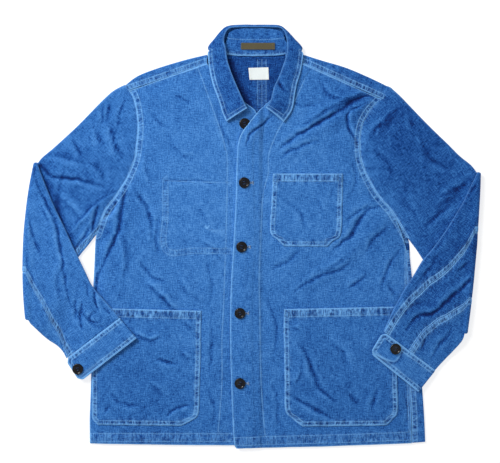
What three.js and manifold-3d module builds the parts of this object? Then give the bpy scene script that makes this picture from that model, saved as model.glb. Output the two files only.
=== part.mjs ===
// A chore jacket laid flat on its back, sleeves folded in over its sides.
// Millimetres. x runs across the jacket, y from hem to collar, z up from the surface it lies on.
import * as THREE from "three";
import { mergeVertices } from "three/addons/utils/BufferGeometryUtils.js";
import Module from "manifold-3d";

const wasm = await Module();
wasm.setup();

// Cloth
const wall = 1.3;
const hemWall = 2.3;
const labelWall = 1.0;
const seamGap = 0.35;
const layerGap = 0.4;
const seamTop = 4.6;

// Sleeves
const foldRadius = 4.3;
const foldAngles = [0, 40, 75, 105, 140, 180];
const armFade = 90;

// Buttons
const buttonRadius = 10.2;
const buttonHeight = 3.4;
const holeRadius = 1.1;
const holeSpread = 2.3;

const denim = { color: 0x27559d, roughness: 0.88, metalness: 0 };
const denimDark = { color: 0x1f4a90, roughness: 0.88, metalness: 0 };
const black = { color: 0x14151a, roughness: 0.25, metalness: 0 };
const brownTape = { color: 0x6b4c42, roughness: 0.85, metalness: 0 };
const whiteTape = { color: 0xe4e6e8, roughness: 0.8, metalness: 0 };

const jacket = new THREE.Group();
jacket.name = "chore_jacket";

// Back, left half: four points a row from the side to the centre seam (x, y each), hem first.
const backLeftRows = [
  [-303, -387.5, -200, -389.5, -90, -390, 12, -391],
  [-304, -345, -200, -346, -90, -348, 12, -350],
  [-302, -290, -200, -290, -90, -290, 13, -290],
  [-300, -213, -200, -213, -90, -213, 14, -213],
  [-298, -119, -200, -119, -90, -119, 15, -119],
  [-295, -53, -200, -53, -90, -53, 16, -53],
  [-291, 6, -200, 6, -90, 6, 17, 6],
  [-275, 49, -190, 52, -85, 60, 18, 66],
  [-259, 70, -180, 78, -80, 94, 18, 104],
  [-232, 114, -170, 122, -75, 138, 18, 148],
  [-219, 148, -160, 160, -75, 178, 19, 190],
  [-215, 178, -160, 192, -78, 212, 19, 226],
  [-213, 208, -160, 224, -80, 246, 19, 262],
  [-216, 237, -160, 254, -82, 278, 19, 294],
  [-224, 264, -165, 288, -82, 312, 19, 322],
  [-234, 284, -174, 314, -84, 340, 19, 341],
];

// Back, right half: the same from the centre seam to the side.
const backRightRows = [
  [12, -391, 110, -391, 220, -389, 323, -384.5],
  [12, -350, 110, -348, 220, -344, 322, -338],
  [13, -290, 110, -290, 220, -286, 318, -280],
  [14, -213, 110, -213, 220, -208, 312, -200],
  [15, -119, 110, -119, 220, -119, 304, -119],
  [16, -53, 110, -53, 220, -53, 297, -60],
  [17, 6, 110, 6, 210, 4, 293, -2],
  [18, 66, 100, 60, 200, 52, 265, 45],
  [18, 104, 95, 94, 180, 82, 240, 74],
  [18, 148, 90, 136, 170, 120, 222, 105],
  [19, 190, 90, 176, 155, 158, 205, 142],
  [19, 226, 92, 210, 155, 194, 203, 181],
  [19, 262, 92, 244, 155, 226, 208, 211],
  [19, 294, 94, 278, 165, 256, 222, 237],
  [19, 322, 95, 312, 180, 288, 242, 262],
  [19, 341, 97, 340, 190, 310, 256, 280],
];

// Front under the button edge: side x y, middle x y, front edge x y, hem first.
const frontLeftRows = [
  [-303, -387.5, -150, -390, 2, -391],
  [-304, -345, -150, -348, 1, -350],
  [-302, -290, -150, -290, 0, -290],
  [-300, -213, -150, -213, 0, -213],
  [-298, -119, -150, -119, 0, -119],
  [-295, -53, -147, -53, 0, -53],
  [-291, 6, -145, 8, 0, 12],
  [-275, 49, -137, 56, 0, 64],
  [-259, 70, -130, 82, 0, 96],
  [-232, 114, -115, 126, 0, 140],
  [-219, 148, -110, 164, 0, 178],
  [-215, 178, -106, 192, 2, 206],
  [-213, 208, -102, 222, 8, 233],
  [-216, 237, -116, 246, -16, 254],
  [-221, 258, -138, 272, -56, 288],
  [-229, 273.4, -156, 299.9, -84, 325.2],
];

// Front on top, with the button edge: front edge x y, middle x y, side seam or armhole x y.
const frontRightRows = [
  [-28, -396.5, 136, -393, 300, -387],
  [-33, -384, 134, -372, 300, -362],
  [-36, -329, 130, -328, 299, -325],
  [-38, -270, 129, -270, 296, -270],
  [-40, -200, 127, -200, 294, -200],
  [-40, -140, 126, -140, 293, -138],
  [-38, -80, 126, -80, 291, -78],
  [-34, -20, 128, -22, 290, -24],
  [-31, 40, 117, 40, 265, 45],
  [-29, 84, 105, 80, 240, 74],
  [-28, 124, 98, 116, 222, 105],
  [-26, 168, 90, 158, 205, 142],
  [-19, 192, 92, 188, 203, 181],
  [-4, 213, 102, 214, 208, 211],
  [18, 240, 118, 240, 220, 236],
  [56, 276, 142, 266, 232, 250],
  [95, 325.4, 168, 292.4, 243, 257.4],
];

// Shoulder strips of the back, folded over to the front: fold x y, seam on the front x y.
const shoulderLeftRows = [
  [-238, 284, -231, 274.8],
  [-214, 302, -208, 282.7],
  [-174, 317.5, -165, 297.6],
  [-124, 332.5, -118, 313.9],
  [-84, 342, -84, 325.7],
];
const shoulderRightRows = [
  [260, 280, 246, 258.2],
  [222, 298.5, 212, 273.5],
  [177, 317.5, 170, 292.3],
  [132, 331, 127, 311.6],
  [97, 342, 95, 326],
];

// Side strip of the right back, folded over to the front: fold x y, seam on the front x y.
const sideRightRows = [
  [326, -384.5, 301, -386.5],
  [324, -338, 300.5, -338],
  [320, -280, 297, -280],
  [314, -200, 294.5, -200],
  [306, -119, 293, -119],
  [299.5, -62, 291, -62],
  [296, -26, 290.5, -26],
];

// Armholes from shoulder to underarm.
const armholeLeft = [
  [-236, 284], [-222, 262], [-216, 237], [-213, 208], [-215, 178],
  [-219, 148], [-232, 114], [-244, 92], [-259, 70], [-275, 49], [-291, 6],
];
const armholeRight = [
  [257, 281], [241, 257], [221, 234.5], [208, 211], [203, 181],
  [205, 148], [213, 122], [225, 97], [240, 74], [265, 45], [293, -2],
];

// Sleeve sections: outer edge x y, underarm edge x y, bow, height,
// then where the two long seams lie, counted 0 to 1 over the front and 1 to 2 over the back.
const sleeveLeftUpper = [
  [-238, 286, -291, 6, 0, 4.6, 0.93, 1.36],
  [-260, 274, -299, -5, 0, 5.4, 0.93, 1.36],
  [-279, 257, -308, -17, 0, 6.2, 0.93, 1.36],
  [-303, 232.5, -318, -29, 0, 6.4, 0.93, 1.36],
  [-325, 210, -330, -44, 1, 6.4, 0.93, 1.36],
  [-350, 186.5, -346, -62, 2, 6.4, 0.93, 1.35],
  [-374, 165, -368, -86, 5, 6.4, 0.93, 1.34],
  [-393, 149, -394, -116, 9, 6.4, 0.92, 1.33],
];
const sleeveLeftFold = [-401, 139, -417, -156, 12, 6.0, 0.91, 1.32];
const sleeveLeftLower = [
  [-392, 114, -413, -163, 10, 6.0, 0.90, 1.31],
  [-376, 73, -408, -168, 7, 6.2, 0.88, 1.29],
  [-362, 42, -399, -177, 4, 6.4, 0.87, 1.27],
  [-348, 13, -390, -186, 2, 6.4, 0.86, 1.24],
  [-336, -14, -379, -195, 1, 6.4, 0.85, 1.20],
  [-325, -37, -368, -202, 0, 6.4, 0.84, 1.16],
  [-311, -66, -360, -209, 0, 6.2, 0.83, 1.12],
  [-298, -92, -355, -215, 0, 6.0, 0.82, 1.09],
  [-276, -118, -351, -221, 0, 5.6, 0.81, 1.08],
  [-247, -151, -348, -228, 0, 5.2, 0.80, 1.07],
];
const sleeveRightUpper = [
  [258, 283, 293, -2, 0, 4.6, 1.24, 1.62],
  [279, 264, 300, -12, 0, 5.4, 1.24, 1.62],
  [299, 243, 309, -24, 0, 6.2, 1.24, 1.62],
  [321, 220, 320, -41, 0, 6.4, 1.24, 1.62],
  [343, 198, 331, -58, 1, 6.4, 1.24, 1.62],
  [367, 175, 344, -78, 2, 6.4, 1.24, 1.62],
  [390, 152, 358, -100, 4, 6.4, 1.24, 1.62],
  [411, 135, 375, -134, 4, 6.4, 1.24, 1.62],
];
const sleeveRightFold = [422, 121, 397, -181, 4, 6.0, 1.24, 1.62];
const sleeveRightLower = [
  [409, 94, 396, -188, 3, 6.0, 1.26, 1.62],
  [396, 66, 393, -195, 2, 6.2, 1.28, 1.63],
  [378, 36, 387, -203, 2, 6.4, 1.31, 1.65],
  [358, 5, 380, -211, 1, 6.4, 1.34, 1.67],
  [338, -22, 373, -219, 0, 6.4, 1.37, 1.70],
  [320, -43, 367, -225, 0, 6.4, 1.40, 1.73],
  [302, -73, 361, -231.5, 0, 6.2, 1.43, 1.77],
  [284, -100, 355, -237.5, 0, 6.0, 1.46, 1.81],
  [264, -137, 349, -244, 0, 5.6, 1.48, 1.85],
  [246, -176, 344, -249.5, 0, 5.2, 1.50, 1.88],
];

// Cuffs: folded end top and bottom, tab end top and bottom (x, y each).
const cuffs = {
  cuff_left: { fold: [-246.4, -151.6, -215, -189], tab: [-349.5, -230.3, -321.5, -271] },
  cuff_right: { fold: [344, -250.3, 312, -290], tab: [245.6, -177, 221, -217] },
};

// Collar stand: neck seam x y, roll x y, height of each above what lies below.
const standRows = [
  [-24, 229, -8, 238, 0.5, 2.0],
  [-33, 243, -13, 250, 0.5, 2.4],
  [-46, 264, -22, 268, 0.5, 3.0],
  [-60, 288, -33, 290, 0.5, 3.4],
  [-72, 312, -41, 313, 0.5, 3.6],
  [-79, 331, -46, 334, 0.5, 3.6],
  [-74, 345, -47, 352, 2.0, 6.0],
  [-60, 346, -46, 369, 4.6, 7.4],
  [-44, 342, -42, 382, 4.4, 8.2],
  [-24, 340, -24, 389, 4.2, 8.6],
  [6, 339.5, 6, 390.5, 4.2, 8.6],
  [34, 340, 34, 389.5, 4.2, 8.6],
  [58, 342, 56, 383, 4.4, 8.2],
  [76, 346, 62, 370, 4.6, 7.4],
  [90, 345, 63, 352, 2.0, 6.0],
  [94, 331, 63, 336, 0.5, 3.6],
  [90, 312, 56, 314, 0.5, 3.6],
  [80, 290, 50, 297, 0.5, 3.4],
  [68, 266, 41, 276, 0.5, 3.0],
  [54, 246, 36, 254, 0.5, 2.4],
  [42, 231, 26, 241, 0.5, 2.0],
];

// Collar leaf: roll x y z, two pulls x y z, free edge x y z; z is a height above what lies below
// on the front rows (kind 0) and above the surface on the rows that turn behind (kind 1).
const leafRows = [
  [0, -9, 239.6, 3.4, -22, 232, 3.6, -35, 224, 1.6, -47.5, 215.8, 0.8],
  [0, -15, 252, 4.2, -29, 245, 4.2, -43, 237, 1.8, -54, 231, 0.8],
  [0, -23, 270, 4.8, -38, 264, 4.6, -52, 259, 2.0, -62, 256, 0.8],
  [0, -33, 293, 5.2, -48, 289, 5.0, -62, 285, 2.2, -72, 283, 0.8],
  [0, -41, 314, 5.4, -54, 312, 5.2, -68, 310, 2.4, -78, 308, 0.8],
  [0, -46.5, 334, 5.6, -58, 332, 5.4, -71, 330, 2.4, -81, 329, 1.0],
  [1, -49, 352, 13.2, -62, 349, 13.6, -76, 346, 12.2, -81.5, 345, 9.4],
  [1, -52, 366, 12.6, -82, 357, 12.4, -90, 353, 6.0, -73, 349, 4.0],
  [1, -50, 378, 12.0, -72, 374, 11.6, -76, 371, 2.4, -57, 352, 1.0],
  [1, -46, 386, 11.4, -56, 393, 10.8, -58, 393, 0.6, -46, 350, 0.8],
  [1, -38, 391, 11.0, -42, 399.5, 10.6, -42, 399.5, 0.2, -38, 349, 0.8],
  [1, -20, 392, 11.0, -20, 400.5, 10.6, -20, 400.5, 0.2, -20, 349, 0.8],
  [1, 6, 392, 11.0, 6, 400.5, 10.6, 6, 400.5, 0.2, 6, 349, 0.8],
  [1, 34, 392, 11.0, 34, 400.5, 10.6, 34, 400.5, 0.2, 34, 349, 0.8],
  [1, 52, 391, 11.0, 52, 399.5, 10.6, 52, 399.5, 0.2, 52, 349, 0.8],
  [1, 60, 385, 11.4, 66, 391, 10.8, 67, 391, 0.6, 60, 350, 0.8],
  [1, 64, 376, 12.0, 84, 372, 11.6, 87, 370, 2.4, 71, 352, 1.0],
  [1, 66, 364, 12.6, 94, 356, 12.4, 103, 353, 6.0, 86, 349, 4.0],
  [1, 66, 351, 13.2, 78, 348, 13.6, 90, 346, 12.2, 95.5, 344, 9.4],
  [0, 64, 336, 5.6, 76, 334, 5.4, 88, 331, 2.4, 94.5, 329, 1.0],
  [0, 57, 315, 5.4, 70, 312, 5.2, 83, 309, 2.4, 90.5, 307, 0.8],
  [0, 50, 297, 5.2, 62, 293, 5.0, 76, 289, 2.2, 84, 286, 0.8],
  [0, 41, 277, 4.8, 55, 272, 4.6, 70, 267, 2.0, 80, 264, 0.8],
  [0, 36, 256, 4.2, 49, 250, 4.2, 64, 243, 1.8, 75, 238, 0.8],
  [0, 26, 241, 3.4, 38, 234, 3.6, 50, 224, 1.6, 59.5, 215, 0.8],
];

// Pockets: outline rows from bottom to top, left x y, right x y.
const hipLeftRows = [
  [-289, -352, -133, -354],
  [-298, -342, -112, -343],
  [-299, -330, -100, -329],
  [-299, -270, -98, -270],
  [-298, -210, -96, -212],
  [-297, -170, -96, -176],
  [-296, -134, -95, -139],
];
const hipRightRows = [
  [95, -355, 252, -353],
  [77, -341, 264, -341],
  [63, -323, 273, -325],
  [62, -270, 272, -270],
  [61, -210, 273, -208],
  [60, -172, 274, -168],
  [61, -136, 275, -131],
];
const chestRows = [
  [60, -17, 141, -18],
  [48, -5, 152, -7],
  [35, 10, 166, 6],
  [37, 60, 169, 60],
  [39, 102, 170, 102],
  [40, 118, 170, 118],
];
const tapeRows = [
  [-20, 351, 43, 351],
  [-20, 363, 43, 363],
];
const labelRows = [
  [-4, 295, 32, 295],
  [-6, 317, 31, 318],
];

// Largest folds: start x y, end x y, half width, height.
const frontFolds = [
  [-228, 100, -203, 60, 9, 3.0],
  [-243, 75, -238, -20, 12, 2.6],
  [-196, -87, -139, -136, 12, 3.4],
  [-45, 195, -38, 162, 9, 1.8],
  [236, 258, 74, 174, 10, 4.0],
  [125, 182, 46, 140, 10, 2.6],
  [200, 240, 182, 206, 9, 2.2],
  [256, 46, 166, -52, 12, 4.0],
  [225, 60, 181, 20, 9, 2.6],
  [214, -75, 181, -98, 9, 2.0],
  [185, -43, 80, -102, 11, 3.2],
  [88, -200, 158, -300, 11, 2.6],
  [76, -300, 158, -342, 10, 2.2],
  [-220, -177, -172, -178, 10, 1.8],
  [-159, -338, -116, -316, 9, 2.0],
];
const sleeveFolds = [
  [-268, 250, -270, 218, 8, 2.4],
  [-262, 196, -244, 146, 9, 2.2],
  [-294, 194, -276, 161, 8, 2.0],
  [-334, 178, -321, 152, 8, 1.8],
  [-400, 128, -300, 100, 10, 3.4],
  [-253, 83, -342, 8, 10, 2.2],
  [-402, 104, -338, -90, 10, 2.4],
  [-415, 34, -394, -40, 9, 2.0],
  [273, 240, 222, 208, 9, 2.6],
  [271, 234, 215, 180, 9, 2.2],
  [424, 100, 372, 42, 10, 3.0],
  [424, 0, 330, -140, 10, 2.2],
  [412, -76, 302, -172, 10, 2.4],
];

// Helpers

const mix = (a, b, t) => a + (b - a) * t;
const clamp = (x, a, b) => Math.min(b, Math.max(a, x));
const ease = (a, b, x) => {
  const t = clamp((x - a) / (b - a), 0, 1);
  return t * t * (3 - 2 * t);
};
const blend = (a, b, t) => a.map((value, i) => mix(value, b[i], t));

// A row of the table at fraction v, curved through the rows.
function rowAt(rows, v) {
  const s = clamp(v, 0, 1) * (rows.length - 1);
  const i = Math.min(Math.floor(s), rows.length - 2);
  const t = s - i;
  const p = rows[Math.max(i - 1, 0)];
  const q = rows[i];
  const r = rows[i + 1];
  const w = rows[Math.min(i + 2, rows.length - 1)];
  return q.map((value, k) => {
    const m0 = (r[k] - p[k]) / 2;
    const m1 = (w[k] - q[k]) / 2;
    const d = r[k] - value;
    return value + m0 * t + (3 * d - 2 * m0 - m1) * t * t + (m0 + m1 - 2 * d) * t * t * t;
  });
}

// The point at fraction u of a row of x, y pairs.
function alongRow(row, u) {
  const count = row.length / 2;
  const s = clamp(u, 0, 1) * (count - 1);
  const i = Math.min(Math.floor(s), count - 2);
  return [mix(row[2 * i], row[2 * i + 2], s - i), mix(row[2 * i + 1], row[2 * i + 3], s - i)];
}

// Height that folds add at a point.
function foldsAt(folds, x, y) {
  let height = 0;
  for (const [x0, y0, x1, y1, width, rise] of folds) {
    const dx = x1 - x0;
    const dy = y1 - y0;
    const t = ((x - x0) * dx + (y - y0) * dy) / (dx * dx + dy * dy);
    if (t < -0.15 || t > 1.15) continue;
    const off = Math.hypot(x - x0 - dx * t, y - y0 - dy * t);
    const along = Math.sin(Math.PI * clamp((t + 0.15) / 1.3, 0, 1));
    height += rise * along * Math.exp(-((off / width) ** 2));
  }
  return height;
}

// A map of the highest cloth laid so far.
class Laid {
  constructor(cell, halfX, halfY) {
    this.cell = cell;
    this.halfX = halfX;
    this.halfY = halfY;
    this.nx = Math.ceil((2 * halfX) / cell);
    this.ny = Math.ceil((2 * halfY) / cell);
    this.top = new Float32Array(this.nx * this.ny);
  }

  put(x, y, z) {
    const i = Math.floor((x + this.halfX) / this.cell);
    const j = Math.floor((y + this.halfY) / this.cell);
    if (i < 0 || j < 0 || i >= this.nx || j >= this.ny) return;
    const k = j * this.nx + i;
    this.top[k] = Math.max(this.top[k], z);
  }

  press(grid) {
    for (let i = 0; i + 1 < grid.length; i += 1) {
      for (let j = 0; j + 1 < grid[i].length; j += 1) {
        const a = grid[i][j];
        const b = grid[i + 1][j];
        const c = grid[i][j + 1];
        const d = grid[i + 1][j + 1];
        const span = Math.max(a.distanceTo(d), b.distanceTo(c));
        const steps = Math.ceil(span / (this.cell * 0.6)) + 1;
        for (let s = 0; s <= steps; s += 1) {
          for (let t = 0; t <= steps; t += 1) {
            const u = s / steps;
            const v = t / steps;
            const x = mix(mix(a.x, b.x, u), mix(c.x, d.x, u), v);
            const y = mix(mix(a.y, b.y, u), mix(c.y, d.y, u), v);
            this.put(x, y, mix(mix(a.z, b.z, u), mix(c.z, d.z, u), v));
          }
        }
      }
    }
  }

  // The height on which a piece rests: the highest within reach, with its steps softened.
  rest(reach, soften) {
    const n = Math.ceil(reach / this.cell);
    const near = this.widest(this.top, n);
    let soft = near;
    const blur = Math.round(soften / this.cell);
    if (blur > 0) {
      soft = this.mean(this.mean(this.widest(near, blur), blur), blur);
    }
    const { nx, ny, cell, halfX, halfY } = this;
    return (x, y) => {
      const fx = clamp((x + halfX) / cell - 0.5, 0, nx - 1.001);
      const fy = clamp((y + halfY) / cell - 0.5, 0, ny - 1.001);
      const i = Math.floor(fx);
      const j = Math.floor(fy);
      const at = (di, dj) => {
        const k = (j + dj) * nx + i + di;
        return Math.max(soft[k], near[k]);
      };
      return mix(mix(at(0, 0), at(1, 0), fx - i), mix(at(0, 1), at(1, 1), fx - i), fy - j);
    };
  }

  widest(field, n) {
    return this.filter(field, n, (list, from, to) => {
      let best = 0;
      for (let k = from; k <= to; k += 1) best = Math.max(best, list[k]);
      return best;
    });
  }

  mean(field, n) {
    return this.filter(field, n, (list, from, to) => {
      let sum = 0;
      for (let k = from; k <= to; k += 1) sum += list[k];
      return sum / (to - from + 1);
    });
  }

  filter(field, n, take) {
    const { nx, ny } = this;
    const across = new Float32Array(nx * ny);
    const out = new Float32Array(nx * ny);
    for (let j = 0; j < ny; j += 1) {
      const line = field.subarray(j * nx, (j + 1) * nx);
      for (let i = 0; i < nx; i += 1) {
        across[j * nx + i] = take(line, Math.max(0, i - n), Math.min(nx - 1, i + n));
      }
    }
    const column = new Float32Array(ny);
    for (let i = 0; i < nx; i += 1) {
      for (let j = 0; j < ny; j += 1) column[j] = across[j * nx + i];
      for (let j = 0; j < ny; j += 1) {
        out[j * nx + i] = take(column, Math.max(0, j - n), Math.min(ny - 1, j + n));
      }
    }
    return out;
  }
}

const laid = new Laid(4, 480, 440);

// A grid of points from a function of u and v.
function gridOf(nu, nv, at) {
  const grid = [];
  for (let i = 0; i <= nu; i += 1) {
    const line = [];
    for (let j = 0; j <= nv; j += 1) {
      line.push(new THREE.Vector3(...at(i / nu, j / nv, i, j)));
    }
    grid.push(line);
  }
  return grid;
}

// The grid moved along its own normals.
function offsetGrid(grid, amount) {
  const nu = grid.length;
  const nv = grid[0].length;
  return grid.map((line, i) => line.map((p, j) => {
    const du = grid[Math.min(i + 1, nu - 1)][j].clone().sub(grid[Math.max(i - 1, 0)][j]);
    const dv = line[Math.min(j + 1, nv - 1)].clone().sub(line[Math.max(j - 1, 0)]);
    return p.clone().addScaledVector(du.cross(dv).normalize(), amount);
  }));
}

// A closed shell between two matching grids.
function shell(upper, lower) {
  const nu = upper.length;
  const nv = upper[0].length;
  const positions = [];
  for (const grid of [upper, lower]) {
    for (const line of grid) {
      for (const p of line) positions.push(p.x, p.y, p.z);
    }
  }
  const at = (side, i, j) => side * nu * nv + i * nv + j;
  const faces = [];
  const quad = (a, b, c, d) => faces.push(a, b, c, a, c, d);
  for (let i = 0; i + 1 < nu; i += 1) {
    for (let j = 0; j + 1 < nv; j += 1) {
      quad(at(0, i, j), at(0, i + 1, j), at(0, i + 1, j + 1), at(0, i, j + 1));
      quad(at(1, i, j), at(1, i, j + 1), at(1, i + 1, j + 1), at(1, i + 1, j));
    }
  }
  for (let i = 0; i + 1 < nu; i += 1) {
    quad(at(0, i, 0), at(1, i, 0), at(1, i + 1, 0), at(0, i + 1, 0));
    quad(at(0, i + 1, nv - 1), at(1, i + 1, nv - 1), at(1, i, nv - 1), at(0, i, nv - 1));
  }
  for (let j = 0; j + 1 < nv; j += 1) {
    quad(at(0, 0, j + 1), at(1, 0, j + 1), at(1, 0, j), at(0, 0, j));
    quad(at(0, nu - 1, j), at(1, nu - 1, j), at(1, nu - 1, j + 1), at(0, nu - 1, j + 1));
  }
  let volume = 0;
  const corner = (k) => new THREE.Vector3().fromArray(positions, 3 * k);
  for (let k = 0; k < faces.length; k += 3) {
    volume += corner(faces[k]).dot(corner(faces[k + 1]).cross(corner(faces[k + 2])));
  }
  if (volume < 0) faces.reverse();
  const geometry = new THREE.BufferGeometry();
  geometry.setAttribute("position", new THREE.Float32BufferAttribute(positions, 3));
  geometry.setIndex(faces);
  return geometry;
}

function toSolid(geometry) {
  const bare = geometry.clone();
  bare.deleteAttribute("normal");
  bare.deleteAttribute("uv");
  const merged = mergeVertices(bare, 1e-4);
  return new wasm.Manifold(new wasm.Mesh({
    numProp: 3,
    vertProperties: new Float32Array(merged.attributes.position.array),
    triVerts: new Uint32Array(merged.index.array),
  }));
}

function fromSolid(solid) {
  const mesh = solid.getMesh();
  const geometry = new THREE.BufferGeometry();
  geometry.setAttribute("position", new THREE.Float32BufferAttribute(mesh.vertProperties, 3));
  geometry.setIndex(Array.from(mesh.triVerts));
  return geometry;
}

function addPiece(name, geometry, look, grids) {
  const piece = new THREE.Mesh(geometry, new THREE.MeshStandardMaterial(look));
  piece.name = name;
  jacket.add(piece);
  for (const grid of grids) laid.press(grid);
  return piece;
}

// Buttons

const buttonPlaces = {
  button_1: [-13, 212],
  button_2: [-14, 101],
  button_3: [-19, -19],
  button_4: [-22, -143],
  button_5: [-22, -274],
  cuff_button_left: [-325, -247],
  cuff_button_right: [268, -209],
};

function buttonSolid() {
  const profile = [
    [0, 0], [8.0, 0], [buttonRadius, 1.6], [9.4, buttonHeight], [8.0, buttonHeight - 0.2],
    [6.9, 2.2], [0, 1.9],
  ].map(([r, z]) => new THREE.Vector2(r, z));
  const lathe = new THREE.LatheGeometry(profile, 14);
  lathe.rotateX(Math.PI / 2);
  let solid = toSolid(lathe);
  for (const [sx, sy] of [[1, 1], [1, -1], [-1, 1], [-1, -1]]) {
    const hole = new THREE.CylinderGeometry(holeRadius, holeRadius, 8, 6);
    hole.rotateX(Math.PI / 2);
    hole.translate(sx * holeSpread, sy * holeSpread, 1);
    solid = solid.subtract(toSolid(hole));
  }
  return fromSolid(solid);
}

function addButton(name, [x, y]) {
  const under = laid.rest(5, 0);
  const button = new THREE.Mesh(buttonSolid(), new THREE.MeshStandardMaterial(black));
  const z = under(x, y) + layerGap / 2;
  button.name = name;
  button.position.set(x, y, z);
  jacket.add(button);
  const half = buttonRadius * 0.7;
  laid.press(gridOf(2, 2, (u, v) => [x + half * (2 * u - 1), y + half * (2 * v - 1), z + buttonHeight + 0.8]));
}

// Back panels

function flatGrid(rows, nu, nv, height) {
  return gridOf(nu, nv, (u, v) => {
    const [x, y] = alongRow(rowAt(rows, v), u);
    return [x, y, height(x, y, u, v)];
  });
}

// A strip that starts flat on the surface, turns over a folded edge and ends on the front.
function turnStrip(rows, steps, inset) {
  const mid = wall / 2;
  const radius = (seamTop - wall) / 2;
  const bend = 5;
  const columns = bend + 4;
  return gridOf(steps, columns, (u, v, i, j) => {
    const [fx, fy, sx, sy] = rowAt(rows, u);
    const span = Math.hypot(sx - fx, sy - fy);
    const ix = (sx - fx) / span;
    const iy = (sy - fy) / span;
    const back = radius + mid;
    let along = inset;
    let z = mid;
    if (j >= 1 && j <= bend + 1) {
      const angle = (Math.PI * (j - 1)) / bend;
      along = back - radius * Math.sin(angle);
      z = mid + radius * (1 - Math.cos(angle));
    } else if (j > bend + 1) {
      along = mix(back, span, (j - bend - 1) / 3);
      z = mid + 2 * radius;
    }
    return [fx + ix * along, fy + iy * along, z];
  });
}

function stripSolid(grid) {
  return toSolid(shell(offsetGrid(grid, wall / 2), offsetGrid(grid, -wall / 2)));
}

function flatPair(rows, nu, nv, thickness) {
  return [
    flatGrid(rows, nu, nv, thickness),
    flatGrid(rows, nu, nv, () => 0),
  ];
}

const inner = seamGap / 2;
const pastSeam = 2;
const shoulderLeft = turnStrip(shoulderLeftRows, 8, 12);
const shoulderRight = turnStrip(shoulderRightRows, 8, 12);
const sideRight = turnStrip(sideRightRows, 10, 12);

// The rows with their two ends moved across; from the underarm up an end at an armhole
// runs a little past the seam, where it is cut.
function pulled(rows, left, right) {
  return rows.map((row) => {
    const out = [...row];
    const last = out.length - 2;
    const atArmhole = (x, y) => y > 20 && Math.abs(x) > 190;
    out[0] += atArmhole(row[0], row[1]) ? Math.sign(row[0]) * pastSeam : left;
    out[last] += atArmhole(row[last], row[last + 1]) ? Math.sign(row[last]) * pastSeam : right;
    return out;
  });
}

// A block beside an armhole, on one side of its seam line.
function besideArmhole(armhole, toward, gap) {
  const points = armhole.map(([x, y]) => new THREE.Vector2(x, y));
  const first = points[0].clone().sub(points[1]).setLength(14).add(points[0]);
  const line = new THREE.SplineCurve([first, ...points]).getPoints(40);
  const near = line.map((p) => new THREE.Vector2(p.x + toward * gap, p.y));
  const far = line.map((p) => new THREE.Vector2(p.x + toward * 34, p.y)).reverse();
  const block = new THREE.ExtrudeGeometry(new THREE.Shape([...near, ...far]), {
    depth: 40, bevelEnabled: false,
  });
  block.translate(0, 0, -10);
  return toSolid(block);
}

const cutters = {
  bodyLeft: besideArmhole(armholeLeft, -1, -inner),
  sleeveLeft: besideArmhole(armholeLeft, 1, -inner),
  bodyRight: besideArmhole(armholeRight, 1, -inner),
  sleeveRight: besideArmhole(armholeRight, -1, -inner),
};

const backLeftTop = flatPair(pulled(backLeftRows, inner, -inner), 6, 15, () => wall);
const backLeftSolid = toSolid(shell(...backLeftTop))
  .add(stripSolid(shoulderLeft))
  .subtract(cutters.bodyLeft);
addPiece("back_left", fromSolid(backLeftSolid), denim, [backLeftTop[0], offsetGrid(shoulderLeft, wall / 2),
  offsetGrid(shoulderLeft, -wall / 2)]);

const backRightTop = flatPair(pulled(backRightRows, inner, -inner), 6, 15, () => wall);
const backRightSolid = toSolid(shell(...backRightTop))
  .add(stripSolid(shoulderRight))
  .add(stripSolid(sideRight))
  .subtract(cutters.bodyRight);
addPiece("back_right", fromSolid(backRightSolid), denim, [backRightTop[0]]);

// Front panels

// Underside of the front: low at the free side edge, at the seam height elsewhere.
function frontHeight(base, sideLow, folds, sideAt) {
  const seamUnder = seamTop - wall;
  return (x, y, u, v) => {
    const side = sideAt(u);
    const above = ease(-20, 40, y);
    const low = mix(ease(0, 0.09, side), 1, sideLow ? above : 1);
    const lift = mix(wall + layerGap, seamUnder, low);
    const inside = ease(0, 0.1, side) * ease(0, 0.06, v) * ease(0, 0.08, 1 - v) * ease(0, 0.08, 1 - side);
    const crown = 1.6 * inside;
    return Math.max(base(x, y) + layerGap, lift) + crown + foldsAt(folds, x, y) * inside;
  };
}

function edgeThickness(side, v, hem) {
  const band = Math.max(ease(0.13, 0.11, side), ease(hem + 0.006, hem, v));
  return mix(wall, hemWall, band);
}

function layPanel(name, rows, nu, nv, height, thickness, look, cutter, edge) {
  const lower = flatGrid(rows, nu, nv, height);
  if (edge) {
    for (const p of lower[nu]) p.x = edge(p.x, p.y);
  }
  const upper = lower.map((line, i) => line.map((p, j) => {
    const q = p.clone();
    q.z += thickness(i / nu, j / nv);
    return q;
  }));
  let geometry = shell(upper, lower);
  if (cutter) geometry = fromSolid(toSolid(geometry).subtract(cutter));
  addPiece(name, geometry, look, [upper]);
  return { lower, upper };
}

const onBack = () => 0;
layPanel(
  "front_left", pulled(frontLeftRows, inner, 0), 11, 24,
  frontHeight(onBack, true, frontFolds, (u) => u), (u, v) => edgeThickness(1 - u, v, 0.03), denim,
  cutters.bodyLeft,
);
// The top button is undone: it is sewn to the lower front and half hidden by the upper one.
addButton("button_1", buttonPlaces.button_1);
const overBack = laid.rest(4, 24);
const frontBase = (x, y) => (x < 30 ? overBack(x, y) * ease(30, 12, x) : 0);
function sideSeam(x, y) {
  if (y > 0) return x;
  const rows = sideRightRows;
  let k = 0;
  while (k < rows.length - 2 && rows[k + 1][3] < y) k += 1;
  const t = (y - rows[k][3]) / (rows[k + 1][3] - rows[k][3]);
  return mix(rows[k][2], rows[k + 1][2], t) - seamGap;
}
layPanel(
  "front_right", pulled(frontRightRows, 0, 0), 13, 26,
  frontHeight(frontBase, false, frontFolds, (u) => 1 - u),
  (u, v) => edgeThickness(u, v, 0.03), denim, cutters.bodyRight, sideSeam,
);

// Pockets and label

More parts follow.
